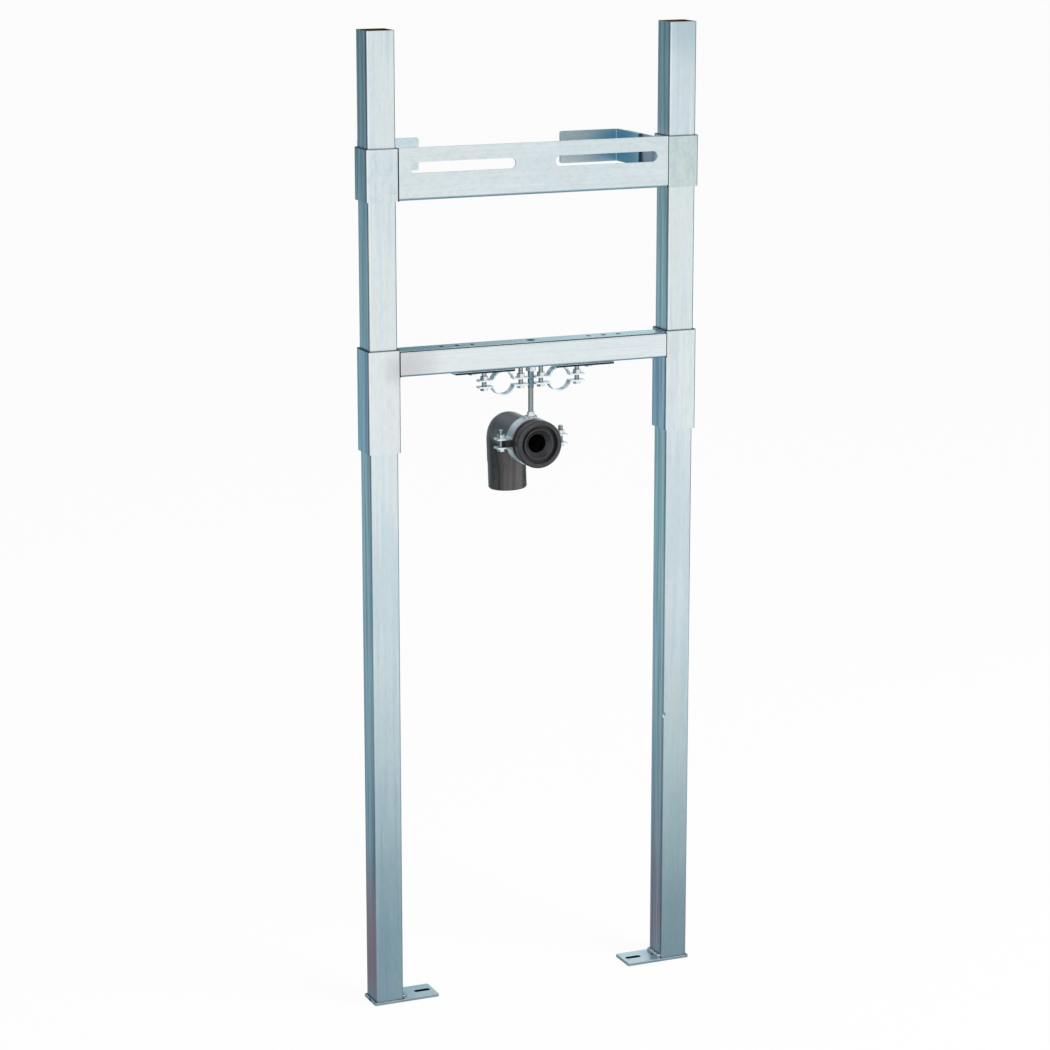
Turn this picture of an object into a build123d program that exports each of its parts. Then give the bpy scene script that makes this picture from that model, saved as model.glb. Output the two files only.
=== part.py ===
"""Basin installation frame: two uprights, two sliding crossbars, wall brackets and waste fixings.

Millimetres. X runs to the right, Y to the wall behind the frame and Z up. The origin is on the underside
of the left foot plate, on the axis of the left upright.
"""

import os

from build123d import *

os.makedirs("parts", exist_ok=True)

# Uprights, square tube
upright_spacing = 440.0
tube_side = 40.0
tube_wall = 2.0
tube_corner = 3.0
frame_height = 1347.0

# Foot plates
foot_length = 96.0
foot_depth = 44.0
foot_thickness = 4.0
foot_corner = 2.5
foot_edge = 1.0
foot_overhang = 3.0
foot_slot_length = 24.0
foot_slot_width = 8.0
foot_slot_end = 5.5
weld_leg = 5.0
weld_bulge = 0.6

# Dent on the front inner edge of the right upright
dent_height = 370.0
dent_radius = 9.0
dent_depth = 1.2

# Sleeves that slide on the uprights
sleeve_gap = 1.0
sleeve_wall = 2.0
sleeve_corner = 3.0
upper_sleeve_drop = 154.0
upper_sleeve_height = 70.0
lower_sleeve_bottom = 784.0
lower_sleeve_height = 140.0

# Locking screws at the back of the sleeves
lock_diameter = 8.0
lock_hole = 8.6
lock_across_flats = 13.0
lock_nut_height = 6.5
lock_head_height = 5.5
lock_thread_shown = 5.0
lock_tip_gap = 0.5
upper_lock_height = 10.0

# Upper crossbar, an angle with two long slots for the basin studs
angle_thickness = 3.0
angle_depth = 30.0
angle_outer_radius = 5.0
basin_slot_length = 152.0
basin_slot_width = 14.5
basin_slot_end = 16.0
basin_slot_height = 43.3

# Wall straps and wall brackets
strap_thickness = 3.0
strap_height = 45.0
strap_foot = 30.0
strap_length = 92.0
strap_bend = 4.0
strap_from_top = 4.5
bracket_arm_start = 40.0
bracket_wall_distance = 139.0
bracket_plate_length = 90.5
bracket_bend = 5.0
bracket_corner = 3.0
bracket_slot_length = 36.0
bracket_hole = 9.0
bracket_hole_from_end = 33.5
bracket_bolt = 6.0
bracket_bolt_hole = 6.6
bracket_bolt_pitch = 24.0
bracket_bolt_across_flats = 10.0
bracket_bolt_head = 4.0
bracket_bolt_nut = 5.0
bracket_bolt_shown = 2.0

# Lower crossbar, square tube
bar_side = 35.0
bar_wall = 2.0
bar_corner = 3.5
bar_below_sleeve_top = 2.0
bar_hole = 7.0
bar_hole_first = 86.5
bar_hole_pitch = 22.5
bar_hole_count = 3
bar_access_hole = 12.0

# Clip plates under the lower crossbar
plate_length = 88.0
plate_thickness = 3.0
plate_corner = 2.0
plate_inner_end = 30.0
plate_flange_diameter = 12.5
plate_flange_thickness = 1.5
plate_bolt = 6.0
plate_bolt_hole = 6.6

# Pipe clips for the two supply pipes
clip_offset = 42.0
clip_bore = 31.0
clip_strap = 2.0
clip_width = 13.0
clip_bend = 2.0
clip_rod_gap = 1.0
clip_ear_gap = 7.0
clip_ear_corner = 3.0
clip_screw_offset = 27.0

# Screws of the clips and of the waste clamp
screw_diameter = 6.0
screw_hole = 6.6
screw_across_flats = 10.0
screw_head = 4.0
screw_nut = 5.0
stud_below_plate = 3.2
stud_below_bar = 0.8
clamp_stud_shown = 6.5

# Hanger rod with its nuts
rod_diameter = 8.0
rod_shank_diameter = 7.1
rod_thread_drop = 31.0
rod_hole = 9.0
rod_nut_across_flats = 13.0
rod_nut_height = 6.5
rod_washer_diameter = 16.0
rod_washer_thickness = 0.8
rod_above_nut = 3.0
rod_drop = 64.0

# Waste clamp with its lining
clamp_strap = 2.0
clamp_width = 17.0
clamp_bend = 3.0
clamp_ear_half = 52.5
clamp_ear_gap = 10.0
clamp_ear_corner = 3.0
clamp_screw_offset = 44.6
lining_thickness = 4.0
lining_width = 24.0
lining_lip_gap = 0.3
lining_lip_end = 1.1
boss_top_diameter = 9.5
boss_foot_diameter = 16.5
boss_height = 9.0
boss_hollow = 0.8
boss_sunk = 1.5

# Waste elbow and its rubber seal
pipe_diameter = 55.0
pipe_wall = 3.5
elbow_bend = 15.0
elbow_drop = 82.5
elbow_back = 88.0
elbow_quarter = 90.0
elbow_turn = 2.0
spigot_diameter = 54.0
spigot_length = 38.0
outlet_chamfer = 1.5
collar_diameter = 60.0
collar_gap = 0.5
seal_face = 32.0
seal_flange_diameter = 66.0
seal_flange_thickness = 9.5
seal_recess_diameter = 53.0
seal_recess_depth = 8.0
seal_rim = 2.5
seal_edge = 0.8
seal_crest_diameter = 43.0
seal_crest_depth = 3.5
seal_crest_width = 1.6
seal_wall = 2.0
seal_length = 20.0
seal_hole = 26.0
seal_lip_depth = 10.5
seal_lip_thickness = 2.0

# Sizes that follow from the ones above
left_axis = 0.0
right_axis = upright_spacing
middle = upright_spacing / 2
tube_inner = tube_side - 2 * tube_wall
sleeve_inner = tube_side + 2 * sleeve_gap
sleeve_outer = sleeve_inner + 2 * sleeve_wall
sleeve_half = sleeve_outer / 2
sleeve_inner_corner = sleeve_corner - sleeve_wall
front = -sleeve_half
bar_start = left_axis + sleeve_half
bar_length = upright_spacing - sleeve_outer
basin_slot_offset = bar_length / 2 - basin_slot_end - basin_slot_length / 2
upper_sleeve_top = frame_height - upper_sleeve_drop
upper_sleeve_bottom = upper_sleeve_top - upper_sleeve_height
lower_sleeve_top = lower_sleeve_bottom + lower_sleeve_height
upper_lock_level = upper_sleeve_bottom + upper_lock_height
lower_lock_level = lower_sleeve_bottom + lower_sleeve_height / 2
strap_top = upper_sleeve_top - strap_from_top
strap_middle = strap_top - strap_height / 2
strap_end = sleeve_half + strap_length
arm_start = sleeve_half + bracket_arm_start
plate_face = bracket_wall_distance - strap_thickness
bolt_line = (arm_start + strap_end) / 2
bar_inner = bar_side - 2 * bar_wall
bar_top = lower_sleeve_top - bar_below_sleeve_top
bar_bottom = bar_top - bar_side
bar_middle = front + bar_side / 2
plate_bottom = bar_bottom - plate_thickness
clip_axis_height = plate_bottom - clip_strap - clip_bore / 2
clip_ear_half = clip_offset - rod_diameter / 2 - clip_rod_gap
clamp_bore = pipe_diameter + 2 * lining_thickness
boss_top = bar_bottom - rod_drop
boss_foot = boss_top - boss_height
clamp_axis_height = boss_foot + boss_sunk - clamp_strap - clamp_bore / 2
washer_bottom = bar_bottom - rod_washer_thickness
rod_foot = boss_foot + clamp_strap
rod_top = bar_bottom + bar_wall + rod_nut_height + rod_above_nut
thread_foot = bar_bottom - rod_thread_drop
lip_end = clamp_screw_offset - screw_diameter / 2 - lining_lip_end
elbow_axis_y = bar_middle + elbow_back
bend_start = elbow_axis_y - elbow_bend
seal_front = bar_middle - seal_face
elbow_front = seal_front + seal_flange_thickness
collar_length = bar_middle - lining_width / 2 - collar_gap - elbow_front
pipe_bore = pipe_diameter - 2 * pipe_wall
sides = (("left", left_axis, 1), ("right", right_axis, -1))

for side, axis_x, inward in sides:
    # Upright: square tube, open at the top
    with BuildPart() as upright:
        with BuildSketch(Plane.XY.offset(foot_thickness)):
            with Locations((axis_x, 0)):
                RectangleRounded(tube_side, tube_side, tube_corner)
                RectangleRounded(tube_inner, tube_inner, tube_corner - tube_wall, mode=Mode.SUBTRACT)
        extrude(amount=frame_height - foot_thickness)
        if inward < 0:
            corner_inset = tube_corner * (1 - 0.5**0.5)
            dent_offset = tube_side / 2 - corner_inset + (dent_radius - dent_depth) * 0.5**0.5
            with Locations((axis_x - dent_offset, -dent_offset, dent_height)):
                Sphere(dent_radius, mode=Mode.SUBTRACT)
    upright.part.label = f"{side}_upright"
    export_step(upright.part, f"parts/{side}_upright.step")

    # Foot plate: flat plate that points inwards, with one slot and the weld run against the upright
    foot_middle = axis_x + inward * (foot_length / 2 - tube_side / 2 - foot_overhang)
    slot_middle = foot_middle + inward * (foot_length / 2 - foot_slot_end - foot_slot_length / 2)
    with BuildPart() as foot_plate:
        with BuildSketch():
            with Locations((foot_middle, 0)):
                RectangleRounded(foot_length, foot_depth, foot_corner)
            with Locations((slot_middle, 0)):
                SlotOverall(foot_slot_length, foot_slot_width, mode=Mode.SUBTRACT)
        extrude(amount=foot_thickness)
        foot_top = foot_plate.faces().sort_by(Axis.Z)[-1]
        fillet(foot_top.outer_wire().edges(), radius=foot_edge)
        weld_x = axis_x + inward * tube_side / 2
        weld_middle = weld_leg / 2 + weld_bulge
        with BuildSketch(Plane.XZ):
            with BuildLine():
                Polyline(
                    (weld_x + inward * weld_leg, foot_thickness),
                    (weld_x, foot_thickness),
                    (weld_x, foot_thickness + weld_leg),
                )
                ThreePointArc(
                    (weld_x, foot_thickness + weld_leg),
                    (weld_x + inward * weld_middle, foot_thickness + weld_middle),
                    (weld_x + inward * weld_leg, foot_thickness),
                )
            make_face()
        extrude(amount=tube_side / 2 - tube_corner, both=True)
    foot_plate.part.label = f"{side}_foot_plate"
    export_step(foot_plate.part, f"parts/{side}_foot_plate.step")

    # Sleeves: short ones on the upper crossbar and long ones on the lower
    for level, bottom, height, lock_level in (
        ("upper", upper_sleeve_bottom, upper_sleeve_height, upper_lock_level),
        ("lower", lower_sleeve_bottom, lower_sleeve_height, lower_lock_level),
    ):
        with BuildPart() as sleeve:
            with BuildSketch(Plane.XY.offset(bottom)):
                with Locations((axis_x, 0)):
                    RectangleRounded(sleeve_outer, sleeve_outer, sleeve_corner)
                    RectangleRounded(sleeve_inner, sleeve_inner, sleeve_inner_corner, mode=Mode.SUBTRACT)
            extrude(amount=height)
            sleeve_back = Plane(origin=(axis_x, sleeve_half, lock_level), x_dir=(1, 0, 0), z_dir=(0, 1, 0))
            with BuildSketch(sleeve_back):
                Circle(lock_hole / 2)
            extrude(amount=-sleeve_wall, mode=Mode.SUBTRACT)
        sleeve.part.label = f"{level}_{side}_sleeve"
        export_step(sleeve.part, f"parts/{level}_{side}_sleeve.step")

    # Wall strap: turned round on to the back of the upper sleeve, with two bolt holes
    strap_x = axis_x + inward * sleeve_half
    arm_face = strap_x + inward * strap_thickness
    with BuildPart() as wall_strap:
        with BuildSketch(Plane.XY.offset(strap_top - strap_height)) as strap_plan:
            with BuildLine():
                Polyline(
                    (strap_x, sleeve_half),
                    (strap_x, strap_end),
                    (strap_x - inward * strap_thickness, strap_end),
                    (strap_x - inward * strap_thickness, sleeve_half + strap_thickness),
                    (strap_x - inward * strap_foot, sleeve_half + strap_thickness),
                    (strap_x - inward * strap_foot, sleeve_half),
                    close=True,
                )
            make_face()
            bend_outside = strap_plan.vertices().sort_by_distance((strap_x, sleeve_half, 0))[0]
            fillet(bend_outside, radius=strap_bend)
        extrude(amount=strap_height)
        strap_face = Plane(origin=(strap_x, bolt_line, strap_middle), x_dir=(0, 1, 0), z_dir=(inward, 0, 0))
        with BuildSketch(strap_face):
            with GridLocations(bracket_bolt_pitch, 0, 2, 1):
                Circle(bracket_bolt_hole / 2)
        extrude(amount=-strap_thickness, mode=Mode.SUBTRACT)
    wall_strap.part.label = f"{side}_wall_strap"
    export_step(wall_strap.part, f"parts/{side}_wall_strap.step")

    # Wall bracket: arm against the strap, turned inwards along the wall
    with BuildPart() as wall_bracket:
        with BuildSketch(Plane.XY.offset(strap_top - strap_height)) as bracket_plan:
            with BuildLine():
                Polyline(
                    (strap_x, arm_start),
                    (strap_x, bracket_wall_distance),
                    (strap_x + inward * bracket_plate_length, bracket_wall_distance),
                    (strap_x + inward * bracket_plate_length, plate_face),
                    (arm_face, plate_face),
                    (arm_face, arm_start),
                    close=True,
                )
            make_face()
            bend_outside = bracket_plan.vertices().sort_by_distance((strap_x, bracket_wall_distance, 0))[0]
            fillet(bend_outside, radius=bracket_bend)
            bend_inside = bracket_plan.vertices().sort_by_distance((arm_face, plate_face, 0))[0]
            fillet(bend_inside, radius=bracket_bend - strap_thickness)
        extrude(amount=strap_height)
        plate_end = wall_bracket.faces().sort_by(Axis.X)[-1 if inward > 0 else 0]
        fillet(plate_end.edges().filter_by(Axis.Y), radius=bracket_corner)
        arm_side = Plane(origin=(arm_face, bolt_line, strap_middle), x_dir=(0, 1, 0), z_dir=(inward, 0, 0))
        with BuildSketch(arm_side):
            SlotOverall(bracket_slot_length, bracket_bolt_hole)
        extrude(amount=-strap_thickness, mode=Mode.SUBTRACT)
        hole_x = strap_x + inward * (bracket_plate_length - bracket_hole_from_end)
        with BuildSketch(Plane(origin=(hole_x, plate_face, strap_middle), x_dir=(1, 0, 0), z_dir=(0, 1, 0))):
            Circle(bracket_hole / 2)
        extrude(amount=strap_thickness, mode=Mode.SUBTRACT)
    wall_bracket.part.label = f"{side}_wall_bracket"
    export_step(wall_bracket.part, f"parts/{side}_wall_bracket.step")

    # Bracket bolts: heads on the arm, nuts on the strap
    bolt_plane = Plane(origin=(arm_face, bolt_line, strap_middle), x_dir=(0, 1, 0), z_dir=(inward, 0, 0))
    with BuildPart() as bracket_bolts:
        with BuildSketch(bolt_plane):
            with GridLocations(bracket_bolt_pitch, 0, 2, 1):
                RegularPolygon(bracket_bolt_across_flats / 2, 6, major_radius=False)
        extrude(amount=bracket_bolt_head)
        with BuildSketch(bolt_plane):
            with GridLocations(bracket_bolt_pitch, 0, 2, 1):
                Circle(bracket_bolt / 2)
        extrude(amount=-(2 * strap_thickness + bracket_bolt_nut + bracket_bolt_shown))
        with BuildSketch(bolt_plane.offset(-2 * strap_thickness)):
            with GridLocations(bracket_bolt_pitch, 0, 2, 1):
                RegularPolygon(bracket_bolt_across_flats / 2, 6, major_radius=False)
        extrude(amount=-bracket_bolt_nut)
    bracket_bolts.part.label = f"{side}_bracket_bolts"
    export_step(bracket_bolts.part, f"parts/{side}_bracket_bolts.step")

    # Clip plate: flat strip under the lower crossbar, held by one bolt
    clip_x = middle - inward * clip_offset
    plate_x = middle - inward * (plate_inner_end + plate_length / 2)
    plate_bolt_x = middle - inward * bar_hole_first
    with BuildPart() as clip_plate:
        with BuildSketch(Plane.XY.offset(plate_bottom)):
            with Locations((plate_x, bar_middle)):
                RectangleRounded(plate_length, bar_side, plate_corner)
            with Locations((plate_bolt_x, bar_middle)):
                Circle(plate_bolt_hole / 2, mode=Mode.SUBTRACT)
        extrude(amount=plate_thickness)
    clip_plate.part.label = f"{side}_clip_plate"
    export_step(clip_plate.part, f"parts/{side}_clip_plate.step")

    # Pipe clip: two half rings with ears bent outwards
    clip_bend_y = clip_ear_gap / 2 + clip_strap
    clip_bend_x = ((clip_bore / 2 + clip_strap) ** 2 - clip_bend_y**2) ** 0.5
    clip_plane = Plane(origin=(clip_x, bar_middle, clip_axis_height), x_dir=(1, 0, 0), z_dir=(0, -1, 0))
    for half, up in (("upper", 1), ("lower", -1)):
        with BuildPart() as clip_half:
            with BuildSketch(clip_plane) as clip_section:
                Circle(clip_bore / 2 + clip_strap)
                with Locations((0, up * (clip_ear_gap + clip_strap) / 2)):
                    Rectangle(2 * clip_ear_half, clip_strap)
                Circle(clip_bore / 2, mode=Mode.SUBTRACT)
                with Locations((0, up * (clip_ear_gap / 2 + clip_bore))):
                    Rectangle(2 * clip_ear_half, 2 * clip_bore, mode=Mode.INTERSECT)
                for turn in (1, -1):
                    corner = (turn * clip_bend_x, up * clip_bend_y, 0)
                    fillet(clip_section.vertices().sort_by_distance(corner)[0], radius=clip_bend)
            extrude(amount=clip_width / 2, both=True)
            ear_ends = clip_half.edges().filter_by(Axis.Z)
            fillet(ear_ends.sort_by(Axis.X)[:2] + ear_ends.sort_by(Axis.X)[-2:], radius=clip_ear_corner)
            with BuildSketch(Plane.XY.offset(clip_axis_height)):
                with Locations((clip_x, bar_middle)):
                    with GridLocations(2 * clip_screw_offset, 0, 2, 1):
                        Circle(screw_hole / 2)
            extrude(amount=up * (clip_ear_gap / 2 + 2 * clip_strap), mode=Mode.SUBTRACT)
        clip_half.part.label = f"{side}_clip_{half}"
        export_step(clip_half.part, f"parts/{side}_clip_{half}.step")

    # Clip screws: heads below the lower ears, nuts on the upper ears, the inner studs up to the crossbar
    clip_ear_top = clip_axis_height + clip_ear_gap / 2 + clip_strap
    clip_ear_bottom = clip_axis_height - clip_ear_gap / 2 - clip_strap
    with BuildPart() as clip_screws:
        with BuildSketch(Plane.XY.offset(clip_ear_bottom - screw_head)):
            with Locations((clip_x, bar_middle)):
                with GridLocations(2 * clip_screw_offset, 0, 2, 1):
                    RegularPolygon(screw_across_flats / 2, 6, major_radius=False)
        extrude(amount=screw_head)
        for screw_x, stud_top in (
            (clip_x + inward * clip_screw_offset, bar_bottom - stud_below_bar),
            (clip_x - inward * clip_screw_offset, plate_bottom - stud_below_plate),
        ):
            with BuildSketch(Plane.XY.offset(clip_ear_bottom)):
                with Locations((screw_x, bar_middle)):
                    Circle(screw_diameter / 2)
            extrude(amount=stud_top - clip_ear_bottom)
        with BuildSketch(Plane.XY.offset(clip_ear_top)):
            with Locations((clip_x, bar_middle)):
                with GridLocations(2 * clip_screw_offset, 0, 2, 1):
                    RegularPolygon(screw_across_flats / 2, 6, major_radius=False)
        extrude(amount=screw_nut)
    clip_screws.part.label = f"{side}_clip_screws"
    export_step(clip_screws.part, f"parts/{side}_clip_screws.step")

# Locking screws: a nut on the back of each sleeve and a hexagon head behind it
for level, lock_level in (("upper", upper_lock_level), ("lower", lower_lock_level)):
    lock_plane = Plane(origin=(middle, sleeve_half, lock_level), x_dir=(1, 0, 0), z_dir=(0, 1, 0))
    with BuildPart() as lock_screws:
        with BuildSketch(lock_plane):
            with GridLocations(upright_spacing, 0, 2, 1):
                RegularPolygon(lock_across_flats / 2, 6, major_radius=False)
        extrude(amount=lock_nut_height)
        with BuildSketch(lock_plane.offset(tube_side / 2 + lock_tip_gap - sleeve_half)):
            with GridLocations(upright_spacing, 0, 2, 1):
                Circle(lock_diameter / 2)
        extrude(amount=sleeve_half - tube_side / 2 - lock_tip_gap + lock_nut_height + lock_thread_shown)
        with BuildSketch(lock_plane.offset(lock_nut_height + lock_thread_shown)):
            with GridLocations(upright_spacing, 0, 2, 1):
                RegularPolygon(lock_across_flats / 2, 6, major_radius=False)
        extrude(amount=lock_head_height)
    lock_screws.part.label = f"{level}_lock_screws"
    export_step(lock_screws.part, f"parts/{level}_lock_screws.step")

# Upper crossbar: angle section with its lower edge bent back, and two slots
with BuildPart() as upper_crossbar:
    with BuildSketch(Plane.YZ.offset(bar_start)) as angle_section:
        with BuildLine():
            Polyline(
                (front, upper_sleeve_bottom),
                (front + angle_depth, upper_sleeve_bottom),
                (front + angle_depth, upper_sleeve_bottom + angle_thickness),
                (front + angle_thickness, upper_sleeve_bottom + angle_thickness),
                (front + angle_thickness, upper_sleeve_top),
                (front, upper_sleeve_top),
                close=True,
            )
        make_face()
        heel = angle_section.vertices().sort_by_distance((front, upper_sleeve_bottom, 0))[0]
        fillet(heel, radius=angle_outer_radius)
        throat = angle_section.vertices().sort_by_distance(
            (front + angle_thickness, upper_sleeve_bottom + angle_thickness, 0)
        )[0]
        fillet(throat, radius=angle_outer_radius - angle_thickness)
    extrude(amount=bar_length)
    slot_level = upper_sleeve_bottom + basin_slot_height
    with BuildSketch(Plane(origin=(middle, front, slot_level), x_dir=(1, 0, 0), z_dir=(0, -1, 0))):
        with GridLocations(2 * basin_slot_offset, 0, 2, 1):
            SlotOverall(basin_slot_length, basin_slot_width)
    extrude(amount=-angle_thickness, mode=Mode.SUBTRACT)
upper_crossbar.part.label = "upper_crossbar"
export_step(upper_crossbar.part, "parts/upper_crossbar.step")

# Lower crossbar: square tube with rows of fixing holes and an access hole over the rod
with BuildPart() as lower_crossbar:
    with BuildSketch(Plane.YZ.offset(bar_start)):
        with Locations((bar_middle, bar_bottom + bar_side / 2)):
            RectangleRounded(bar_side, bar_side, bar_corner)
            RectangleRounded(bar_inner, bar_inner, bar_corner - bar_wall, mode=Mode.SUBTRACT)
    extrude(amount=bar_length)
    with BuildSketch(Plane.XY.offset(bar_bottom)):
        for inward in (1, -1):
            for number in range(bar_hole_count):
                with Locations((middle - inward * (bar_hole_first + number * bar_hole_pitch), bar_middle)):
                    Circle(bar_hole / 2)
    extrude(amount=bar_side, mode=Mode.SUBTRACT)
    with BuildSketch(Plane.XY.offset(bar_top)):
        with Locations((middle, bar_middle)):
            Circle(bar_access_hole / 2)
    extrude(amount=-bar_side / 2, mode=Mode.SUBTRACT)
    with BuildSketch(Plane.XY.offset(bar_bottom)):
        with Locations((middle, bar_middle)):
            Circle(rod_hole / 2)
    extrude(amount=bar_wall, mode=Mode.SUBTRACT)
lower_crossbar.part.label = "lower_crossbar"
export_step(lower_crossbar.part, "parts/lower_crossbar.step")

# Bolts of the clip plates: flanged heads below, nuts inside the crossbar
with BuildPart() as plate_bolts:
    with BuildSketch(Plane.XY.offset(plate_bottom)):
        with Locations((middle, bar_middle)):
            with GridLocations(2 * bar_hole_first, 0, 2, 1):
                Circle(plate_flange_diameter / 2)
    extrude(amount=-plate_flange_thickness)
    with BuildSketch(Plane.XY.offset(plate_bottom - plate_flange_thickness)):
        with Locations((middle, bar_middle)):
            with GridLocations(2 * bar_hole_first, 0, 2, 1):
                RegularPolygon(screw_across_flats / 2, 6, major_radius=False)
    extrude(amount=-(screw_head - plate_flange_thickness))
    with BuildSketch(Plane.XY.offset(plate_bottom)):
        with Locations((middle, bar_middle)):
            with GridLocations(2 * bar_hole_first, 0, 2, 1):
                Circle(plate_bolt / 2)
    extrude(amount=plate_thickness + bar_wall + screw_nut + bracket_bolt_shown)
    with BuildSketch(Plane.XY.offset(bar_bottom + bar_wall)):
        with Locations((middle, bar_middle)):
            with GridLocations(2 * bar_hole_first, 0, 2, 1):
                RegularPolygon(screw_across_flats / 2, 6, major_radius=False)
    extrude(amount=screw_nut)
plate_bolts.part.label = "clip_plate_bolts"
export_step(plate_bolts.part, "parts/clip_plate_bolts.step")

# Hanger rod: threaded from the nut inside the crossbar to below it, then a thinner shank down to the boss
with BuildPart() as hanger_rod:
    with BuildSketch(Plane.XY.offset(rod_foot)):
        with Locations((middle, bar_middle)):
            Circle(rod_shank_diameter / 2)
    extrude(amount=thread_foot - rod_foot)
    with BuildSketch(Plane.XY.offset(thread_foot)):
        with Locations((middle, bar_middle)):
            Circle(rod_diameter / 2)
    extrude(amount=rod_top - thread_foot)
hanger_rod.part.label = "hanger_rod"
export_step(hanger_rod.part, "parts/hanger_rod.step")

# Rod nuts: one inside the crossbar, one with a washer below it
with BuildPart() as rod_nuts:
    with BuildSketch(Plane.XY.offset(bar_bottom + bar_wall)):
        with Locations((middle, bar_middle)):
            RegularPolygon(rod_nut_across_flats / 2, 6, major_radius=False)
            Circle(rod_diameter / 2, mode=Mode.SUBTRACT)
    extrude(amount=rod_nut_height)
    with BuildSketch(Plane.XY.offset(bar_bottom)):
        with Locations((middle, bar_middle)):
            Circle(rod_washer_diameter / 2)
            Circle(rod_diameter / 2, mode=Mode.SUBTRACT)
    extrude(amount=-rod_washer_thickness)
    with BuildSketch(Plane.XY.offset(washer_bottom)):
        with Locations((middle, bar_middle)):
            RegularPolygon(rod_nut_across_flats / 2, 6, major_radius=False)
            Circle(rod_diameter / 2, mode=Mode.SUBTRACT)
    extrude(amount=-rod_nut_height)
rod_nuts.part.label = "rod_nuts"
export_step(rod_nuts.part, "parts/rod_nuts.step")

# Waste clamp: two half rings with ears bent outwards, the upper one with a flared boss for the rod
clamp_bend_y = clamp_ear_gap / 2 + clamp_strap
clamp_bend_x = ((clamp_bore / 2 + clamp_strap) ** 2 - clamp_bend_y**2) ** 0.5
boss_waist = (boss_top_diameter + boss_foot_diameter) / 4 - boss_hollow
clamp_plane = Plane(origin=(middle, bar_middle, clamp_axis_height), x_dir=(1, 0, 0), z_dir=(0, -1, 0))
for half, up in (("upper", 1), ("lower", -1)):
    with BuildPart() as clamp_half:
        with BuildSketch(clamp_plane) as clamp_section:
            Circle(clamp_bore / 2 + clamp_strap)
            with Locations((0, up * (clamp_ear_gap + clamp_strap) / 2)):
                Rectangle(2 * clamp_ear_half, clamp_strap)
            Circle(clamp_bore / 2, mode=Mode.SUBTRACT)
            with Locations((0, up * (clamp_ear_gap / 2 + clamp_bore))):
                Rectangle(2 * clamp_ear_half, 2 * clamp_bore, mode=Mode.INTERSECT)
            for turn in (1, -1):
                corner = (turn * clamp_bend_x, up * clamp_bend_y, 0)
                fillet(clamp_section.vertices().sort_by_distance(corner)[0], radius=clamp_bend)
        extrude(amount=clamp_width / 2, both=True)
        ear_ends = clamp_half.edges().filter_by(Axis.Z)
        fillet(ear_ends.sort_by(Axis.X)[:2] + ear_ends.sort_by(Axis.X)[-2:], radius=clamp_ear_corner)
        with BuildSketch(Plane.XY.offset(clamp_axis_height)):
            with Locations((middle, bar_middle)):
                with GridLocations(2 * clamp_screw_offset, 0, 2, 1):
                    Circle(screw_hole / 2)
        extrude(amount=up * (clamp_ear_gap / 2 + 2 * clamp_strap), mode=Mode.SUBTRACT)
        if up > 0:
            with BuildSketch(Plane(origin=(middle, bar_middle, 0), x_dir=(1, 0, 0), z_dir=(0, -1, 0))):
                with BuildLine():
                    ThreePointArc(
                        (boss_foot_diameter / 2, boss_foot),
                        (boss_waist, (boss_foot + boss_top) / 2),
                        (boss_top_diameter / 2, boss_top),
                    )
                    Polyline(
                        (boss_top_diameter / 2, boss_top),
                        (0, boss_top),
                        (0, boss_foot),
                        (boss_foot_diameter / 2, boss_foot),
                    )
                make_face()
            revolve(axis=Axis((middle, bar_middle, 0), (0, 0, 1)))
            with BuildSketch(Plane.XY.offset(boss_top)):
                with Locations((middle, bar_middle)):
                    Circle(rod_shank_diameter / 2)
            extrude(amount=rod_foot - boss_top, mode=Mode.SUBTRACT)
    clamp_half.part.label = f"waste_clamp_{half}"
    export_step(clamp_half.part, f"parts/waste_clamp_{half}.step")

# Waste clamp screws
clamp_ear_top = clamp_axis_height + clamp_ear_gap / 2 + clamp_strap
clamp_ear_bottom = clamp_axis_height - clamp_ear_gap / 2 - clamp_strap
with BuildPart() as clamp_screws:
    with BuildSketch(Plane.XY.offset(clamp_ear_bottom - screw_head)):
        with Locations((middle, bar_middle)):
            with GridLocations(2 * clamp_screw_offset, 0, 2, 1):
                RegularPolygon(screw_across_flats / 2, 6, major_radius=False)
    extrude(amount=screw_head)
    with BuildSketch(Plane.XY.offset(clamp_ear_bottom)):
        with Locations((middle, bar_middle)):
            with GridLocations(2 * clamp_screw_offset, 0, 2, 1):
                Circle(screw_diameter / 2)
    extrude(amount=clamp_ear_top - clamp_ear_bottom + screw_nut + clamp_stud_shown)
    with BuildSketch(Plane.XY.offset(clamp_ear_top)):
        with Locations((middle, bar_middle)):
            with GridLocations(2 * clamp_screw_offset, 0, 2, 1):
                RegularPolygon(screw_across_flats / 2, 6, major_radius=False)
    extrude(amount=screw_nut)
clamp_screws.part.label = "waste_clamp_screws"
export_step(clamp_screws.part, "parts/waste_clamp_screws.step")

# Rubber lining between the clamp and the pipe: a wide ring with two lips that stand out between the ears
with BuildPart() as clamp_lining:
    with BuildSketch(clamp_plane):
        Circle(clamp_bore / 2)
        Circle(pipe_diameter / 2, mode=Mode.SUBTRACT)
    extrude(amount=lining_width / 2, both=True)
    with BuildSketch(clamp_plane):
        Rectangle(2 * lip_end, clamp_ear_gap - 2 * lining_lip_gap)
        Circle(pipe_diameter / 2, mode=Mode.SUBTRACT)
    extrude(amount=clamp_width / 2, both=True)
clamp_lining.part.label = "clamp_lining"
export_step(clamp_lining.part, "parts/clamp_lining.step")

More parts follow.
